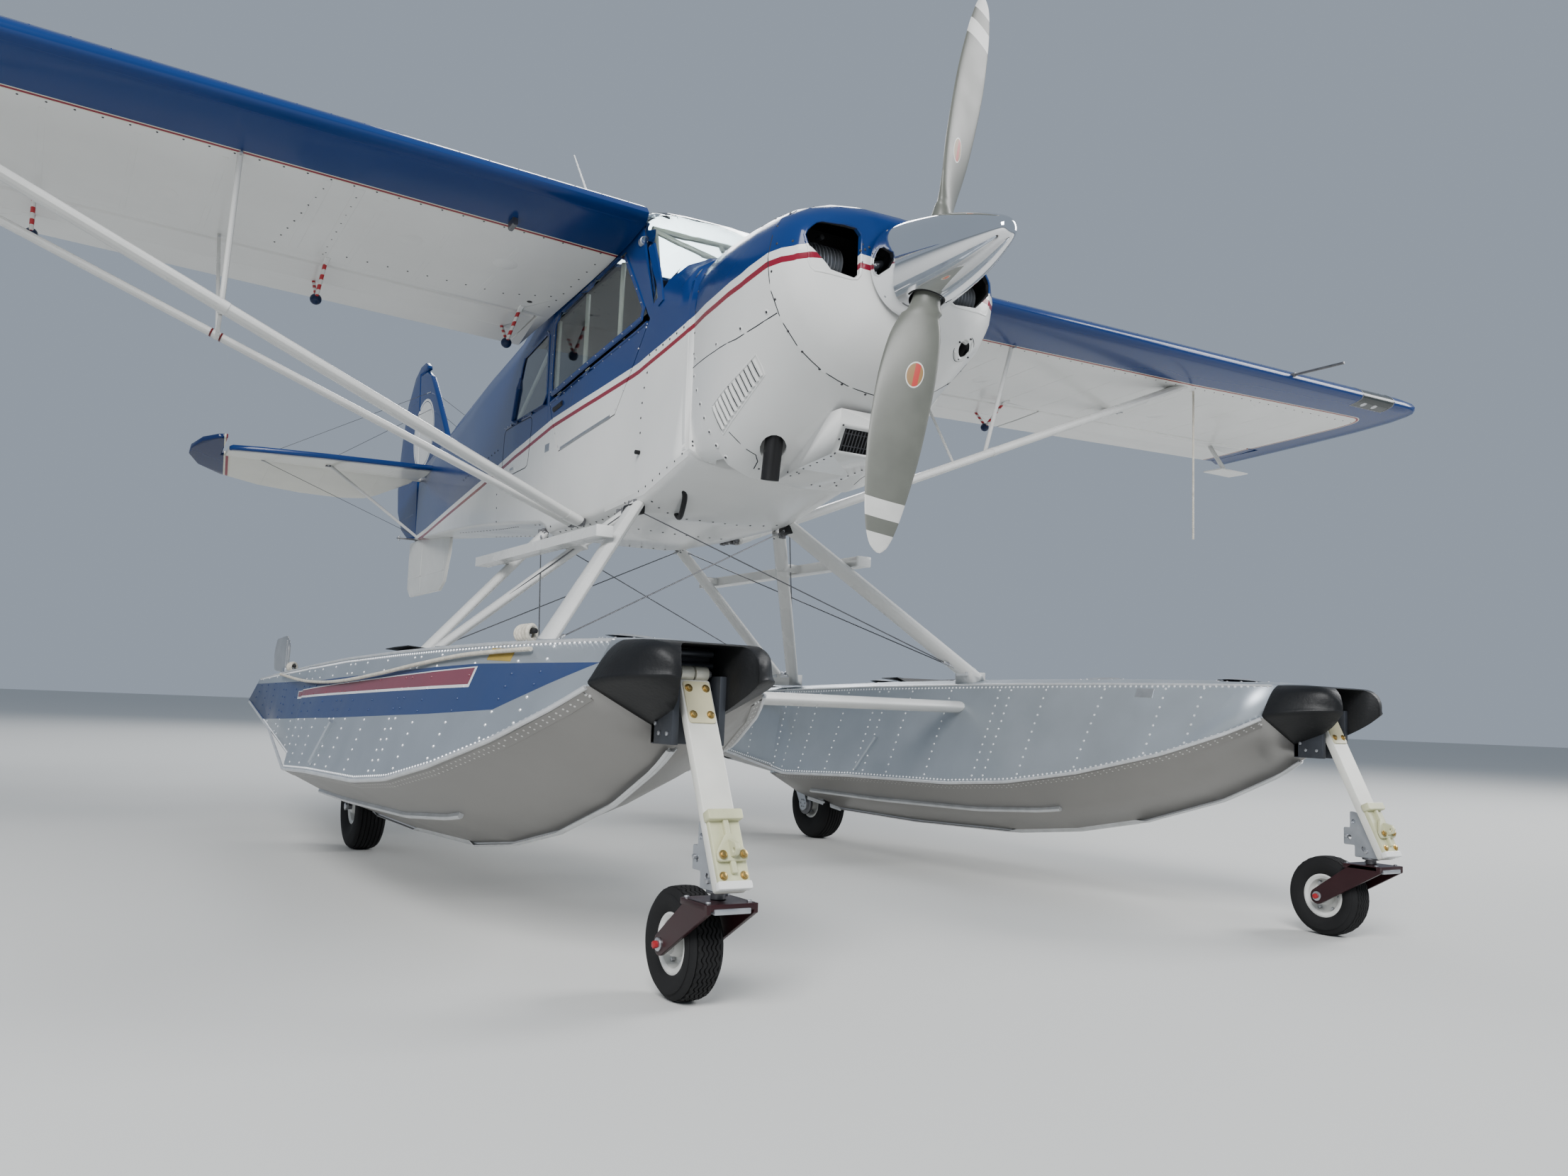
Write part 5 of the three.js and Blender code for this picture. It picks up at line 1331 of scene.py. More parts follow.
# Screw rows under the port wing
UNDER_ROWS = [
    [(1497, 1850, 2660), (1497, 2465, 2620)], [(1624, 1850, 2665), (1700, 2465, 2620)],
    [(689, 2396, 2560), (1490, 2440, 2590)], [(450, 1865, 2617), (450, 2418, 2560)],
    [(488, 2297, 2570), (689, 2396, 2560)],
]
WING_RIBS = range(790, 4991, 300)
COVERS = [(1212, 2092), (788, 2088), (2160, 2250), (3700, 2300)]
for hand, name in ((1, "port"), (-1, "starboard")):
    under = surface_of(wing_skins["wing", name])
    body = nodes[f"wing_{name}"]["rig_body"]
    brackets, flap_arms = [], []
    for x in BRACKETS:
        eye = wing_place(hand * x, 0.822, -0.086)
        brackets.append(rod(wing_place(hand * x, 0.69, -0.01), eye, 9, taped, 0, 20))
        bpy.ops.mesh.primitive_uv_sphere_add(segments=32, ring_count=16, radius=0.0262, location=at(*eye))
        brackets.append(dressed(bpy.context.object, ball_blue, 180))
        foot = Vector(wing_place(hand * x, 0.69, -0.024))
        foot_line = [foot - HALF_FOOT, foot + HALF_FOOT]
        brackets.append(strip("bracket_foot", under, foot_line, 26, 4, wing_finish, None, 20))
        arm_ends = wing_place(hand * x, 0.875, -0.004), wing_place(hand * x, 0.828, -0.068)
        flap_arms.append(rod(*arm_ends, 8, taped, 0, 20))
    joined(f"hinge_brackets_{name}", brackets, body)
    joined(f"flap_arms_{name}", flap_arms, nodes[f"flap_{name}"]["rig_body"])
    rows = [[(hand * x, y, z) for x, y, z in row] for row in UNDER_ROWS]
    rows.append([wing_place(hand * 470, 0.215, -0.04), wing_place(hand * 5040, 0.205, -0.04)])
    studs(f"wing_screws_{name}", under, rows, 88, 5.5, 2.0, shaded_screw_steel, body)
    upper = [[wing_place(hand * 470, 0.02, 0.05), wing_place(hand * 5060, 0.02, 0.05)],
             [wing_place(hand * 470, 0.25, 0.09), wing_place(hand * 5060, 0.25, 0.09)]]
    studs(f"wing_top_rivets_{name}", under, upper, 120, 4.5, 1.6, wing_finish, body)
    tapes = []
    for x in WING_RIBS:
        over = [wing_place(hand * x, 0.24, 0.1), wing_place(hand * x, 0.70, 0.06)]
        tapes.append(strip("rib", under, over, 26, 0.9, wing_finish, None, 120))
        if not 1490 < x < 1720:
            below = [wing_place(hand * x, 0.24, -0.05), wing_place(hand * x, 0.68, -0.03)]
            tapes.append(strip("rib", under, below, 22, 0.7, wing_finish, None, 120))
    for x in (1497, 1624):
        lap = [(hand * x, 1780, 2660), (hand * x, 2470, 2620)]
        tapes.append(strip("lap", under, lap, 40, 1.2, wing_finish, None, 100))
    nose_lap = [wing_place(hand * 430, 0.02, -0.05), wing_place(hand * 5040, 0.02, -0.05)]
    tapes.append(strip("nose_lap", under, nose_lap, 5, 1.0, wing_finish, None, 150))
    joined(f"wing_tapes_{name}", tapes, body)
    covers = [under((hand * x, y, 2600)) for x, y in COVERS]
    scattered(f"wing_covers_{name}", head(62, 3, 36), covers, wing_finish, body)
    studs(f"wing_drain_{name}", under, [[(hand * 549, 2419, 2574)]], 50, 17, 1.5, black, body)
    middle = Vector(wing_place(hand * 895, 0.17, -0.045))
    drain = [middle - Vector((0, 30, 0)), middle + Vector((0, 30, 0))]
    strip(f"drain_tube_{name}", under, drain, 22, 34, steel, body, 20)

port_skin = surface_of(wing_skins["wing", "port"])
around = [(0.066, -0.04), (0.02, -0.02), (-0.002, 0.0), (0.02, 0.03), (0.066, 0.06)]
inner_edge = [wing_place(LENS[0], *step) for step in around]
outer_edge = [wing_place(LENS[1], *step) for step in reversed(around)]
strip("lamp_lens_rim", port_skin, inner_edge + outer_edge, 9, 1.6, steel, airframe, 16, True)
lens_rows = [[inner_edge[0], outer_edge[-1]], [inner_edge[-1], outer_edge[0]]]
studs("lamp_lens_screws", port_skin, lens_rows, 72, 4, 3, zinc, airframe)
lamps = [port_skin(wing_place(x, 0.038, -0.04)) for x in (4790, 4905)]
scattered("lamp_faces", head(24, 2.2, 24), lamps, zinc, airframe)

PITOT_X = 3970
PITOT_LENGTH = 385
PITOT_SOCKET = 62
pitot_foot = Vector(wing_place(PITOT_X, 0.03, 0.012))
joined("pitot_tube", [
    rod(pitot_foot - Vector((0, PITOT_LENGTH, 0)), pitot_foot, 8.5, steel, 1, 20),
    rod(pitot_foot - Vector((0, PITOT_SOCKET, 0)), pitot_foot, 13, steel, 2, 20)], airframe)

roof = surface_of(wing_skins["wing", "starboard"], fuselage)
aerial_foot = roof((-620, 1560, 2860))[0]
AERIAL_LENGTH = 0.30
AERIAL_LEAN = Vector((0, 0.6, 0.8)).to_track_quat("Z", "Y").to_matrix().to_4x4()
deselect()
bpy.ops.mesh.primitive_cone_add(vertices=16, radius1=0.005, radius2=0.0025, depth=AERIAL_LENGTH)
aerial = bpy.context.object
aerial.matrix_world = Matrix.Translation(aerial_foot + Vector((0, 0.088, 0.117))) @ AERIAL_LEAN
foot_cap = head(16, 14, 24)
foot_cap.location = aerial_foot
joined("whip_aerial", [dressed(aerial, white_trim), dressed(foot_cap, black)], airframe)


# Floats: riveted alloy hulls with a blue band and a red inset on their outer sides, bright flanges along the
# deck edge and the chine, keel and spray strips, deck hatches, blank plates, and cleats, on which the mooring
# line is wound.
# Alloy grey whose blue tint is a painted reflection of the sky; below the chine a darker brown-grey, a
# painted reflection of the ground.
SKY_TINTED_ALLOY = (0.40, 0.44, 0.48)
GROUND_REFLECTION_GREY = (0.27, 0.262, 0.25)
BARE_METAL = 0.65
BAND_BLUE = (0.012, 0.035, 0.12)
INSET_WHITE = (0.66, 0.67, 0.68)
INSET_RED = (0.17, 0.035, 0.055)
# Heights along a float: its bottom's edge, the blue band and the inset
CHINE = [[-573, 687], [-480, 640], [-250, 556], [100, 471], [450, 415], [800, 388], [1500, 375],
         [2100, 350], [2285, 340], [2300, 368], [3300, 478], [4300, 607]]
BAND_TOP = [[-573, 744], [78, 746], [1901, 706], [4300, 701]]
BAND_LOW = [[-573, 743], [-175, 627], [260, 607], [1422, 569], [3647, 517], [4300, 500]]
INSET_TOP = [[54, 739], [2439, 663]]
INSET_LOW = [[51, 683], [2530, 628]]


def float_paint(name, bare, under):
    """Bare alloy, its blue tint a painted reflection of the sky, with the painted band; below the chine a
    darker brown-grey, a painted reflection of the ground.
    """
    material = plain_material(name, bare, 0.38)
    x, y, z = drawing_axes(material)
    span = x.size()
    outer = span > FLOAT_X
    paint_over(material, (z - y.along(CHINE)) < 2, under)
    band = (z > y.along(BAND_LOW)) * (z < y.along(BAND_TOP)) * outer
    paint_over(material, band, BAND_BLUE)
    top = y.along(INSET_TOP)
    low = y.along(INSET_LOW)
    border = (z > low) * (z < top) * y.inside(50, 2500) * outer
    paint_over(material, border, INSET_WHITE)
    inset = (z > low + 8) * (z < top - 3) * y.inside(64, 2488) * outer
    paint_over(material, inset, INSET_RED)
    metal = (band * -BARE_METAL) + BARE_METAL
    link(material, metal.socket, shader_of(material).inputs["Metallic"])
    return mottled(material, 5, 0.1, 0.0005, 8)


float_finish = float_paint("float_paint", SKY_TINTED_ALLOY, GROUND_REFLECTION_GREY)
# The rivets get the same painted ground reflection below the chine.
rivet_finish = float_paint("rivet_paint", (0.93, 0.94, 0.95), (0.66, 0.65, 0.63))
plate_ochre = mottled(painted("plate_ochre", (0.36, 0.25, 0.05), 0.4), 20, 0.15)
bright_alloy = mottled(plain_material("bright_alloy", (0.66, 0.67, 0.68), 0.35, 0.5), 20, 0.15, 0.0002, 60)
RIBS = [-330, -180, 95, 380, 568, 632, 930, 1195, 1370, 1440, 1690, 1940, 2111, 2250, 2591, 2960, 3053,
        3420, 3780, 4100]
SPRAY = [(205, 354, 321), (226, 700, 297), (236, 1099, 280), (240, 2050, 275)]
STEP_Y = 2260
KEEL = [(-570, 564), (-480, 505), (-250, 402), (100, 297), (450, 228), (800, 188), (1500, 168), (2280, 176)]
DECK_HATCHES = [-330, 330, 1150, 1780, 2820, 3560]
CLEATS = (-110, 3238)


def tube_along(name, points, radius, material):
    """A round tube along points in metres."""
    return dressed(meshed(rope_curve(name, points, radius, material)), material, 60)


def on_side(cx, edge, y, up):
    """A place on a float's side, up from the chine to the deck edge."""
    chine_z, chine, edge_z, deck = float_row(y)
    return (cx + edge * (chine + (deck - chine) * up), y, chine_z + (edge_z - chine_z) * up)


for hand, name in ((1, "port"), (-1, "starboard")):
    cx = hand * FLOAT_X
    skin = skin_of(f"float_{name}", float_finish)
    hull = surface_of(skin)
    rivets, flanges = [], []
    for edge in (1, -1):
        for y in RIBS:
            lean = 20 if y > 0 else 6
            rivets += spaced([on_side(cx, edge, y - lean, 0.94), on_side(cx, edge, y + lean, 0.07)], 34)
        stations = range(-560, 4290, 50)
        rows = [float_row(y) for y in stations]
        for up in (0.972, 0.03):
            rivets += spaced([on_side(cx, edge, y, up) for y in stations], 23)
        rivets += spaced([(cx + edge * (row[3] - 12), y, row[2] + 10) for y, row in zip(stations, rows)], 23)
        for inward in (0.91, 0.955):
            rivets += spaced([(cx + edge * row[1] * inward, y, row[0] - 14)
                              for y, row in zip(stations, rows) if y < STEP_Y], 26)
        lap = [(cx + edge * row[1] * 0.93, y, row[0] - 14) for y, row in zip(stations, rows) if y < STEP_Y]
        flanges.append(strip("chine_lap", hull, lap, 36, 2.4, float_finish, None, 30))
        for up, radius in ((0, 6.2), (1, 4.5)):
            line = [at(*on_side(cx, edge, y, up)) for y in range(-572, 4300, 56)]
            flanges.append(tube_along("flange", line, radius / 1000, bright_alloy))
        spray = [(cx + edge * x, y, z) for x, y, z in SPRAY]
        flanges.append(strip("spray", hull, spray, 16, 15, bright_alloy, None, 60))
        vent = [(cx + edge * side_half(y, z), y, z) for y, z in ((1347, 556), (1441, 410))]
        flanges.append(strip("vent_tube", hull, vent, 20, 17, float_finish, None, 40))
        ends, plate_finish = ((-138, 8), plate_ochre) if edge == hand else ((-140, -66), alloy)
        spot = [(cx + edge * side_half(-103, 767), y, 767) for y in ends]
        flanges.append(strip("blank_plate", hull, spot, 36, 1.4, plate_finish, None, 30))
    rivet_places = [hull(point) for point in rivets]
    scattered(f"hull_rivets_{name}", head(5.3, 2.5), rivet_places, rivet_finish, airframe)
    below_keel = [(cx, y, z - 40) for y, z in KEEL]
    flanges.append(strip("keel", hull, below_keel, 34, 5, bright_alloy, None, 60))
    keel_line = [hull(point)[0] for point in spaced(below_keel, 60)]
    flanges.append(tube_along("keel_edge", keel_line, 0.009, bright_alloy))
    flanges.append(strip("keel_aft", hull, [(cx, 2620, 260), (cx, 4280, 440)], 24, 5, bright_alloy, None, 80))
    joined(f"hull_flanges_{name}", flanges, airframe)
    hatches = [hull((cx, y, 900)) for y in DECK_HATCHES]
    scattered(f"deck_covers_{name}", head(80, 6, 40), hatches, alloy, airframe)
    screws = [hull((cx + u, y + v, 830)) for y in DECK_HATCHES for u, v in disc(96, sides=12)]
    scattered(f"deck_cover_screws_{name}", head(4.5, 2.2), screws, zinc, airframe)
    strip(f"deck_grip_{name}", hull, [(cx, 1330, 830), (cx, 1640, 830)], 260, 1.2, black, airframe, 60)
    cleats = []
    for y in CLEATS:
        foot = hull((cx + hand * (float_row(y)[3] - 26), y, 840))[0]
        x0, y0, z0 = (foot - at(0, 0, 0)) * 1000
        bar_z = z0 + 26
        cleats += [block((x0 - 12, y0 - 30, z0 - 4), (x0 + 12, y0 + 30, z0 + 5), bright_alloy, 2),
                   rod((x0, y0 - 18, z0), (x0, y0 - 18, bar_z), 6, bright_alloy, 1, 16),
                   rod((x0, y0 + 18, z0), (x0, y0 + 18, bar_z), 6, bright_alloy, 1, 16),
                   rod((x0, y0 - 62, bar_z), (x0, y0 + 62, bar_z), 7, black, 3, 20)]
        if hand < 0:
            wraps = []
            for k in range(5):
                deselect()
                bpy.ops.mesh.primitive_torus_add(
                    major_radius=0.019, minor_radius=ROPE_RADIUS, major_segments=32, minor_segments=12,
                    location=at(x0, y0 - 32 + 16 * k, z0 + 22), rotation=(math.pi / 2, 0, 0.6 - 0.3 * k))
                wraps.append(dressed(bpy.context.object, rope_finish, 60))
            joined("mooring_wraps_front" if y < 0 else "mooring_wraps_rear", wraps, airframe)
    joined(f"cleats_{name}", cleats, airframe)


# Struts: white-painted streamlined tubes with steel fork fittings, bolts and clamp bands. The lift struts and
# their jury struts carry the wings; the float struts, spreader bars and crossed wires carry the floats.
strut_white = mottled(painted("strut_white", (0.68, 0.68, 0.66), 0.25), 6, 0.06)
STRUTS = ("lift_strut_front", "lift_strut_rear", "jury_struts", "float_strut_front", "float_struts_rear",
          "tail_strut")
for name in ("port", "starboard"):
    for part in STRUTS:
        skin_of(f"{part}_{name}", strut_white, 50)
skin_of("spreader_front", strut_white, 50)
skin_of("spreader_rear", strut_white, 50)
band_red = mottled(painted("band_red", (0.12, 0.012, 0.016)), 20, 0.1)
FRONT_LIFT = [Vector((408, 1992, 1469)), Vector((3480, 1813, 2762))]
REAR_LIFT = [Vector((408, 2090, 1474)), Vector((3440, 2370, 2705))]
# Section of each lift strut: chord, thickness
FRONT_SECTION = (98, 46)
REAR_SECTION = (62, 32)


def mirrored_point(point, hand):
    """A port place, or its mirror image on the starboard side."""
    return Vector((hand * point[0], point[1], point[2]))


def band(ends, t, wide, chord, thick, material, hand):
    """A thin sleeve round a streamlined tube."""
    start, end = [mirrored_point(end, hand) for end in ends]
    along = (end - start).normalized()
    middle = start.lerp(end, t)
    deselect()
    bpy.ops.mesh.primitive_cylinder_add(vertices=40, radius=0.5, depth=wide / 1000)
    sleeve = bpy.context.object
    sleeve.scale = (thick / 1000, chord / 1000, 1)
    bpy.ops.object.transform_apply(location=False, rotation=False, scale=True)
    across = Vector((0, 1, 0)) - along * along.y
    across.normalize()
    turn = Matrix((across.cross(along), across, along)).transposed().to_4x4()
    sleeve.matrix_world = Matrix.Translation(at(*middle)) @ turn
    return dressed(sleeve, material, 40)


def bolt(point, along, half, radius, material):
    """A bolt through a fitting, with a head and a nut."""
    along = Vector(along).normalized()
    point = Vector(point)
    return [rod(point - along * half, point + along * half, radius, material, 0.5, 16),
            rod(point - along * (half + radius), point - along * half, radius * 1.7, material, 0.8, 6),
            rod(point + along * half, point + along * (half + radius), radius * 1.7, material, 0.8, 6)]


def cheeks(point, low, high, near, far):
    """Two steel plates, ahead of a bolt and behind it."""
    return [block(point + Vector((low[0], start, low[1])), point + Vector((high[0], end, high[1])), steel, 2)
            for start, end in ((-far, -near), (near, far))]


STRUT_TOPS = [(382, 1462, 1476), (376, 2515, 1470), (390, 1560, 1452)]
STRUT_FEET = [(957, 900, 857), (957, 2445, 857), (957, 2330, 857)]
SPREADER_X = 616
for hand, name in ((1, "port"), (-1, "starboard")):
    fittings = []
    for ends, (chord, thick) in ((FRONT_LIFT, FRONT_SECTION), (REAR_LIFT, REAR_SECTION)):
        fittings.append(band(ends, 0.012, 60, chord + 3, thick + 3, strut_white, hand))
        fittings.append(band(ends, 0.988, 50, chord + 3, thick + 3, strut_white, hand))
        foot, top = [mirrored_point(end, hand) for end in ends]
        foot.x, foot.z = hand * 398, foot.z - 2
        fittings += bolt(foot, (0, 1, 0), 26, 7, steel)
        fittings += cheeks(foot, (-14, -16), (14, 18), 12, 22)
        fittings += bolt(top + Vector((0, 0, -32)), (0, 1, 0), chord * 0.3, 5, zinc)
    for t in (0.494, 0.506):
        fittings.append(band(REAR_LIFT, t, 7, 65, 35, band_red, hand))
    fittings.append(band(FRONT_LIFT, 0.5, 34, 101, 49, strut_white, hand))
    fittings.append(band(REAR_LIFT, 0.5, 12, 65, 35, strut_white, hand))
    for x, y, z in ((1945, 1740, 2668), (1915, 2525, 2598)):
        fittings += bolt((hand * x, y, z), (0, 1, 0), 13, 4, zinc)
    joined(f"lift_fittings_{name}", fittings, airframe)
    fittings = []
    for strut_top in STRUT_TOPS:
        top = mirrored_point(strut_top, hand)
        fittings += bolt(top, (0, 1, 0), 34, 8, steel)
        fittings += cheeks(top, (-16, -20), (16, 26), 20, 30)
    shoe = Vector((hand * 382, 1466, 1468))
    fittings.append(block(shoe + Vector((-34, -44, -26)), shoe + Vector((34, 40, 14)), black, 9))
    for strut_foot in STRUT_FEET:
        foot = mirrored_point(strut_foot, hand)
        fittings.append(block(foot + Vector((-38, -34, -24)), foot + Vector((38, 34, -12)), bright_alloy, 2))
        fittings += bolt(foot, (0, 1, 0), 36, 6, zinc)
        for x in (-30, 30):
            for y in (-26, 26):
                low, high = foot + Vector((x, y, -13)), foot + Vector((x, y, -6))
                fittings.append(rod(low, high, 5, zinc, 0.6, 6))
    step_x = hand * SPREADER_X
    for y in (1260, 1700, 2500, 2640):
        fittings.append(rod((step_x, y, 1341), (step_x, y, 1345), 6, zinc, 0.6, 20))
    fittings.append(block((step_x - 24, 1290, 1341), (step_x + 24, 1660, 1344), black, 0.8))
    fittings.append(block((step_x - 35, 1208, 1298), (step_x + 35, 1222, 1344), white_trim, 3))
    joined(f"float_fittings_{name}", fittings, airframe)

wire_steel = mottled(plain_material("wire_steel", (0.16, 0.16, 0.17), 0.35, 0.9), 60, 0.2)
WIRES = [
    [(384, 1470, 1470), (-944, 915, 852)], [(-384, 1470, 1470), (944, 915, 852)],
    [(376, 2515, 1466), (-944, 2440, 852)], [(-376, 2515, 1466), (944, 2440, 852)],
    [(392, 2500, 1462), (962, 930, 852)], [(-392, 2500, 1462), (-962, 930, 852)],
    [(392, 1480, 1466), (962, 2300, 852)], [(-392, 1480, 1466), (-962, 2300, 852)],
]
wires = []
for start, end in WIRES:
    start, end = Vector(start), Vector(end)
    along = (end - start).normalized()
    wires.append(rod(start, end, 2.6, wire_steel, 0, 12))
    wires.append(rod(start, start + along * 46, 5.5, zinc, 1, 12))
    wires.append(rod(end, end - along * 70, 5.5, zinc, 1, 12))
    wires.append(rod(end - along * 70, end - along * 96, 8, zinc, 1, 6))
joined("float_wires", wires, airframe)


# Tail: a pale tailplane with a blue nose, an elevator with navy tips, a blue fin and rudder with a plain
# white disc, a white lower fin, brace tubes and wires, and the steering arm under the tail post.
TAIL_WHITE = (0.70, 0.69, 0.62)
TAIL_NOSE = [[60, 5560], [260, 5585], [800, 5655], [1200, 5735], [1385, 5800]]


def stabilizer_finish():
    """Blue along the nose, then a thin cream line and a thin dark one."""
    material = painted("stabilizer_paint", TAIL_WHITE)
    x, y, z = drawing_axes(material)
    behind = y - x.size().along(TAIL_NOSE)
    paint_over(material, behind.inside(64, 72), (0.05, 0.05, 0.06))
    paint_over(material, behind < 56, CREAM)
    paint_over(material, behind < 46, BLUE)
    return mottled(material, 3, 0.07, 0.0005, 5)


def elevator_finish():
    """Navy round the tips, with a thin cream and a thin red line inside it."""
    material = painted("elevator_paint", TAIL_WHITE)
    x, y, z = drawing_axes(material)
    inward = y.ramp(5800, 6430, 1438, 1352) - x.size()
    paint_over(material, inward < 42, CREAM)
    paint_over(material, inward.inside(12, 30), RED)
    paint_over(material, inward < 0, NAVY)
    return mottled(material, 3, 0.07, 0.0005, 5)


DISC_Y = 6130
DISC_Z = 2657
stabilizer = skin_of("stabilizer", stabilizer_finish())
elevator = skin_of("elevator", elevator_finish())
fin_paint = painted("fin_paint", BLUE)
x, y, z = drawing_axes(fin_paint)
away = ((y - DISC_Y) * (y - DISC_Y) + (z - DISC_Z) * (z - DISC_Z)).step("SQRT")
paint_over(fin_paint, away < 270, (0.70, 0.70, 0.69))
paint_over(fin_paint, away.inside(246, 252), NAVY)
mottled(fin_paint, 2.5, 0.08, 0.0005, 3)
skin_of("fin", fin_paint)
rudder = skin_of("rudder", fin_paint)
lower_white = mottled(painted("lower_white", (0.66, 0.66, 0.63)), 4, 0.08)
lower_fin = skin_of("ventral_fin", lower_white)
lower_near = surface_of(lower_fin)
stabilizer_near = surface_of(stabilizer)
FIN_FRAME = [[(5420, 1500), (5420, 1790)], [(5990, 1430), (5990, 1830)], [(5320, 1560), (6330, 1560)]]
lines = []
for hand in (1, -1):
    for path in FIN_FRAME:
        line = [(hand * 12, y, z) for y, z in path]
        lines.append(strip("frame_line", lower_near, line, 12, 1, lower_white, None, 60))
    for x in (300, 700, 1080):
        for up in (2330, 2270):
            line = [(hand * x, 5700 + 0.08 * x, up), (hand * x, 6050, up)]
            lines.append(strip("rib", stabilizer_near, line, 14, 1, stabilizer.data.materials[0], None, 80))
joined("tail_ribs", lines, airframe)
elevator_body = nodes["elevator"]["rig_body"]
elevator_near = surface_of(elevator)
ELEVATOR_DROOP = math.radians(14)
ELEVATOR_HINGE = (6110, 2300)
droop_sin, droop_cos = math.sin(ELEVATOR_DROOP), math.cos(ELEVATOR_DROOP)
ribs = []
for hand in (1, -1):
    for x in (320, 700, 1080):
        for up in (20, -20):
            path = []
            for run in (40, 400):
                y = ELEVATOR_HINGE[0] + run * droop_cos + up * droop_sin
                path.append((hand * x, y, ELEVATOR_HINGE[1] - run * droop_sin + up * droop_cos))
            ribs.append(strip("rib", elevator_near, path, 14, 1, elevator.data.materials[0], None, 80))
joined("elevator_ribs", ribs, elevator_body)
rudder_body = nodes["rudder"]["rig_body"]
rudder_near = surface_of(rudder)
POST_LEAN = math.tan(math.radians(7.6))
POST_FOOT_Z = 1860
ribs = []
for hand in (1, -1):
    for z in (2060, 2300, 2520, 2760, 2960):
        start = 6230 + (z - POST_FOOT_Z) * POST_LEAN
        path = [(hand * 20, start, z), (hand * 20, start + 330, z - 10)]
        ribs.append(strip("rib", rudder_near, path, 14, 1, fin_paint, None, 60))
joined("rudder_ribs", ribs, rudder_body)
TAIL_WIRES = [
    [(1150, 6060, 2282), (18, 6120, 1866)], [(1150, 6060, 2318), (19, 6010, 2960)],
    [(740, 5915, 2318), (19, 5960, 2820)],
]
braces = []
for hand in (1, -1):
    for wire in TAIL_WIRES:
        start, end = [mirrored_point(end, hand) for end in wire]
        along = (end - start).normalized()
        braces += [rod(start, end, 1.8, wire_steel, 0, 10), rod(start, start + along * 50, 4.5, zinc, 1, 10),
                   rod(end, end - along * 34, 4.5, zinc, 1, 10)]
    braces += bolt((hand * 1150, 6060, 2300), (0, 0, 1), 20, 5, zinc)
    braces += bolt((hand * 735, 5918, 2282), (0, 1, 0), 14, 5, zinc)
    braces.append(block((hand * 735 - 16, 5900, 2272), (hand * 735 + 16, 5936, 2284), steel, 2))
for z in (2480, 2800, 3080):
    y = 6153 + (z - POST_FOOT_Z) * POST_LEAN
    braces.append(rod((0, y, z - 22), (0, y, z + 22), 8, zinc, 1, 16))
joined("tail_braces", braces, airframe)
ARM_Y = 6191
arm = [block((-150, 6178, 1846), (150, 6204, 1856), steel, 3),
       rod((0, ARM_Y, 1838), (0, ARM_Y, 1868), 15, steel, 2, 24)]
for x in (-135, 135):
    arm += bolt((x, ARM_Y, 1851), (0, 0, 1), 12, 5, zinc)
joined("steering_arm", arm, rudder_body)
joined("tail_light", [rod((0, 6772, 2420), (0, 6800, 2420), 17, clear_sheet, 5, 24)], rudder_body)


# Water rudders: alloy blades, lifted behind the floats, each with a doubler riveted along its front edge.
# They are bolted in an alloy clamp that turns on a steel post.
rudder_alloy = mottled(plain_material("rudder_alloy", (0.50, 0.51, 0.52), 0.40, 0.6), 9, 0.2, 0.0003, 50)
RUDDER_BLADE = [(4345, 765), (4330, 930), (4420, 985), (4700, 975), (4770, 900), (4740, 790)]
DOUBLER = framed((4372, 800), (4388, 960))
POST_Y = 4331
for hand, name in ((1, "port"), (-1, "starboard")):
    cx = hand * FLOAT_X
    parts = [plate([rounded(RUDDER_BLADE, 50, 6)], side_lie(cx), 13, rudder_alloy, 2),
             rod((cx, POST_Y, 549), (cx, POST_Y, 789), 9, steel, 1),
             rod((cx, POST_Y, 579), (cx, POST_Y, 683), 20, alloy, 2, 32),
             block((cx - 22, 4311, 750), (cx + 22, 4391, 800), alloy, 4)]
    for y in (4350, 4376):
        parts += bolt((cx, y, 775), (1, 0, 0), 24, 4, zinc)
    for z in (830, 880, 930):
        parts.append(rod((cx - 8, 4380, z), (cx + 8, 4380, z), 5, zinc, 0.6, 16))
    parts.append(plate([rounded(DOUBLER, 6)], side_lie(cx), 18, rudder_alloy, 2))
    blade_body = nodes[f"water_rudder_{name}"]["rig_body"]
    joined(f"water_rudder_fine_{name}", parts, blade_body, f"water_rudder_{name}")


# Cabin: a dark floor, a bare black panel with round dials and no marks, the welded tubes behind the screen,
# and two black cushioned seats in line on pale tube frames.
panel_black = mottled(plain_material("panel_black", (0.03, 0.03, 0.032), 0.6), 20, 0.2, 0.0003, 90)
cabin = skin_of("cabin_frame", cream_tube, 40)
cabin.data.materials.append(panel_black)
PANEL_TOP = 2.27
PANEL_BACK = 1.374
for face in cabin.data.polygons:
    if face.center.z < PANEL_TOP and face.center.y + PROPELLER_AHEAD < PANEL_BACK:
        face.material_index = 1
# Dials on the panel: x, height, radius
DIALS = [(-230, 2200, 38), (-140, 2205, 40), (-45, 2205, 40), (50, 2205, 40), (145, 2200, 38),
         (235, 2196, 30), (-190, 2105, 30), (-95, 2105, 38), (5, 2105, 38), (100, 2105, 38), (190, 2105, 28)]
dials = []
for x, z, r in DIALS:
    bezel = [(0, 2), (r * 0.82, 2), (r * 0.86, 6), (r, 6), (r, -3)]
    dials.append(turned("dial", bezel, axis_lie((x, 1368 - (2278 - z) * 0.02, z), (0, 1, 0)), black, 28))
    dials.append(rod((x, 1369, z), (x, 1371.5, z), r * 0.8, dark_steel, 0, 28))
joined("panel_dials", dials, airframe)
stick = [rod((0, y, 1612), (0, y + 20, 1800), 11, steel, 1) for y in (1520, 2250)]
stick += [rod((0, y + 20, 1800), (0, y + 24, 1900), 16, black, 5) for y in (1520, 2250)]
joined("control_sticks", stick, airframe)

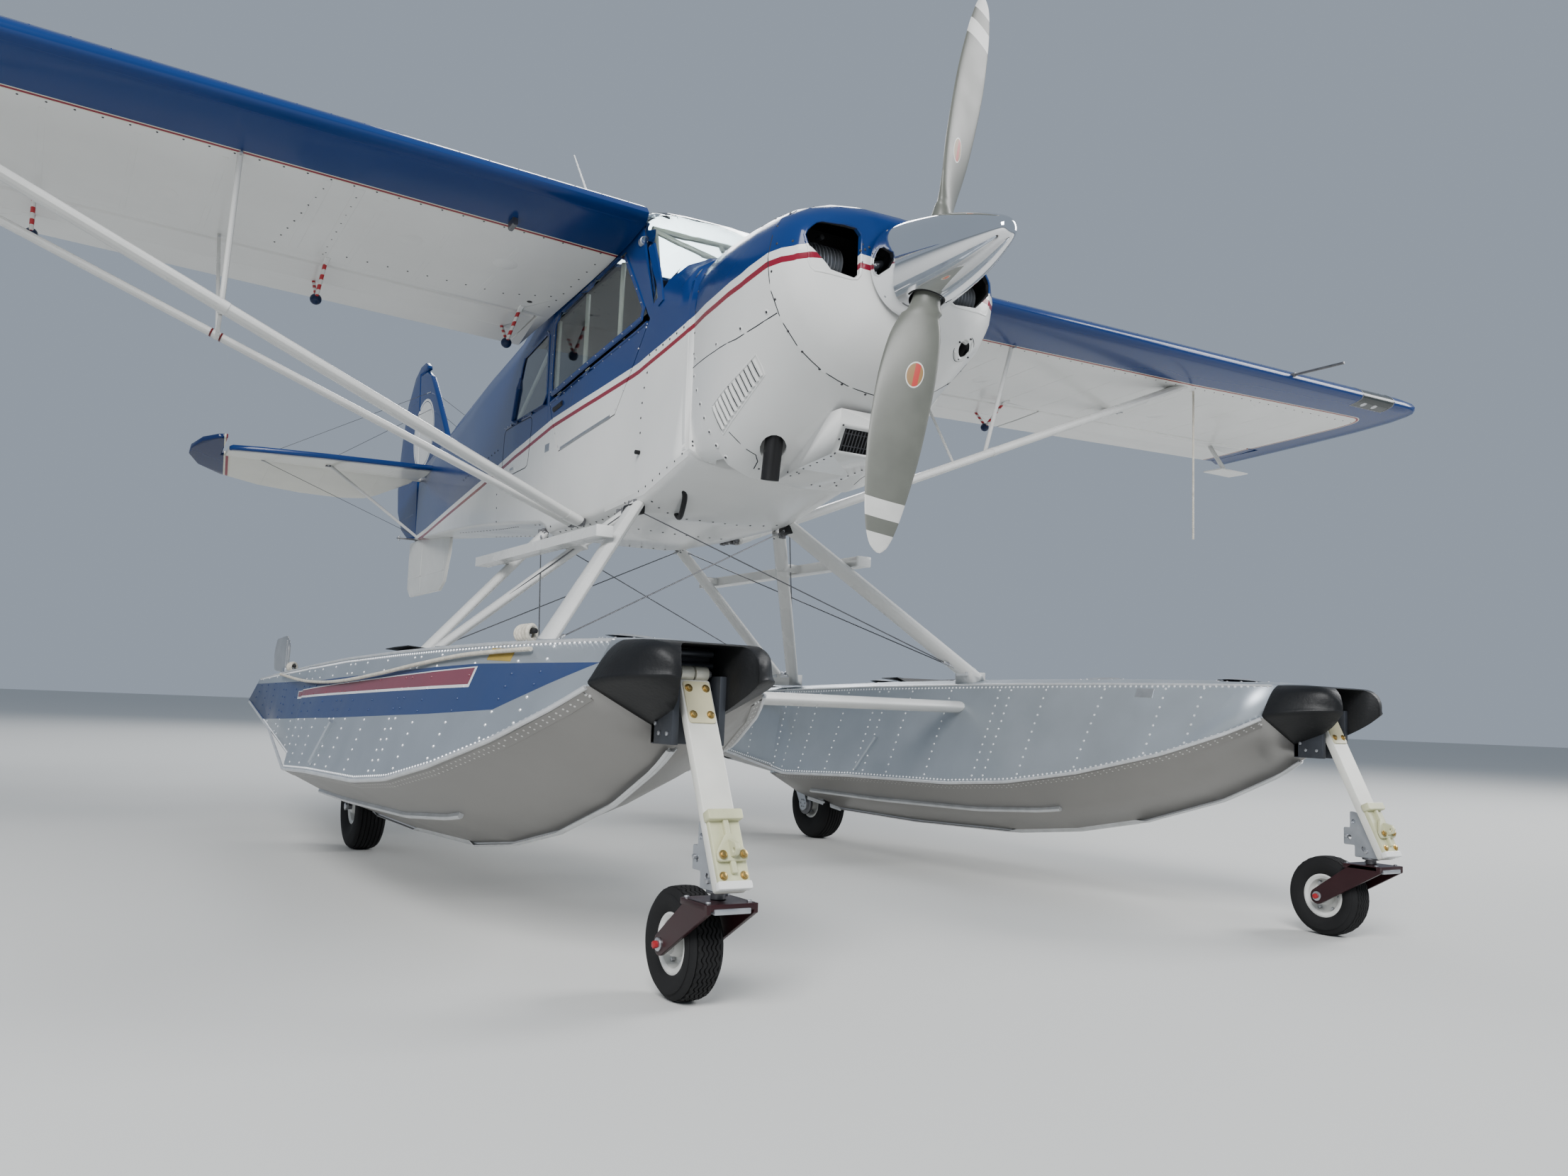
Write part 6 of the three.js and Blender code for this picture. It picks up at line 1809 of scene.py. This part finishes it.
carpet = mottled(plain_material("floor_carpet", (0.035, 0.035, 0.038), 0.95), 60, 0.3, 0.0008, 250)
SEATS = (1560, 2330)
SEAT_HALF = 172
base = [block((-280, 1240, 1600), (280, 2900, 1612), carpet, 2),
        block((-40, 1440, 1470), (40, 2440, 1600), steel, 2)]
for y in SEATS:
    tubes = []
    for x in (-SEAT_HALF, SEAT_HALF):
        tubes += [[(x, y + 50, 1612), (x, y + 60, 1796)], [(x, y + 370, 1612), (x, y + 360, 1796)],
                  [(x, y + 14, 1790), (x, y + 400, 1790)], [(x, y + 400, 1790), (x, y + 540, 2262)]]
    tubes += [[(-SEAT_HALF, y + 14, 1790), (SEAT_HALF, y + 14, 1790)],
              [(-SEAT_HALF, y + 540, 2262), (SEAT_HALF, y + 540, 2262)]]
    base += [rod(start, end, 11, cream_tube, 1) for start, end in tubes]
    base.append(block((-SEAT_HALF, y + 20, 1794), (SEAT_HALF, y + 392, 1800), panel_black, 1))
seat_frames = joined("seat_frames", base, airframe)
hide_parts("seats")

seat_cloth = plain_material("seat_cloth", (0.030, 0.030, 0.033), 0.88)
weave = node(seat_cloth, "TexWave")
weave.inputs["Scale"].default_value = 420
link(seat_cloth, object_point(seat_cloth), weave.inputs["Vector"])
relief = node(seat_cloth, "Bump")
relief.inputs["Strength"].default_value = 0.35
relief.inputs["Distance"].default_value = 0.0006
link(seat_cloth, weave.outputs["Fac"], relief.inputs["Height"])
link(seat_cloth, relief.outputs["Normal"], shader_of(seat_cloth).inputs["Normal"])
mottled(seat_cloth, 9, 0.25)


PAD_VOXEL = 0.006
PAD_GIVE = 0.014


def stuffed(name, low, high):
    """A pad swelled by a cloth simulation from a rounded box, its points held within a few millimetres."""
    pad = block(low, high, seat_cloth, 22)
    pad.name = name
    applied(pad, "REMESH", mode="VOXEL", voxel_size=PAD_VOXEL)
    before = [corner.co.copy() for corner in pad.data.vertices]
    cloth = pad.modifiers.new("cloth", "CLOTH")
    cloth.settings.use_pressure = True
    cloth.settings.uniform_pressure_force = 4
    cloth.settings.effector_weights.gravity = 0
    for step in range(1, 21):
        bpy.context.scene.frame_set(step)
    bpy.context.view_layer.objects.active = pad
    bpy.ops.object.modifier_apply(modifier=cloth.name)
    bpy.context.scene.frame_set(1)
    for corner, start in zip(pad.data.vertices, before):
        move = corner.co - start
        if move.length > PAD_GIVE:
            corner.co = start + move.normalized() * PAD_GIVE
    return dressed(pad, seat_cloth, 180)


def piping(low, high, height, lie):
    """A round cord sewn along the edge of a pad."""
    outline = rounded(framed(low, high), 30, 6)
    points = [lie @ (Vector((u, v, height)) / 1000) for u, v in [*outline, outline[0]]]
    return tube_along("piping", points, 0.004, black)


flat_pad = stuffed("flat_pad", (-203, -198, -28), (203, 198, 28))
back_pad = stuffed("back_pad", (-198, -218, -24), (198, 218, 24))
home = Matrix.Translation(-at(0, 0, 0))
lean_back = Matrix.Rotation(math.radians(76.5), 4, "X")
for k, y in enumerate(SEATS):
    seat_lie = Matrix.Translation(at(0, y + 205, 1842))
    back_lie = Matrix.Translation(at(0, y + 470, 2050)) @ lean_back
    places = [(flat_pad, seat_lie, (-200, -195), (200, 195), "seat"),
              (back_pad, back_lie, (-194, -214), (194, 214), "back")]
    for model, lie, low, high, kind in places:
        pad = model.copy()
        pad.data = model.data.copy()
        bpy.context.collection.objects.link(pad)
        pad.data.transform(lie @ home)
        edges = [piping(low, high, up, lie) for up in (17, -17)]
        whole = joined(f"{kind}_cushion_{k + 1}", [pad, *edges], airframe, "seats")
bpy.data.objects.remove(flat_pad)
bpy.data.objects.remove(back_pad)
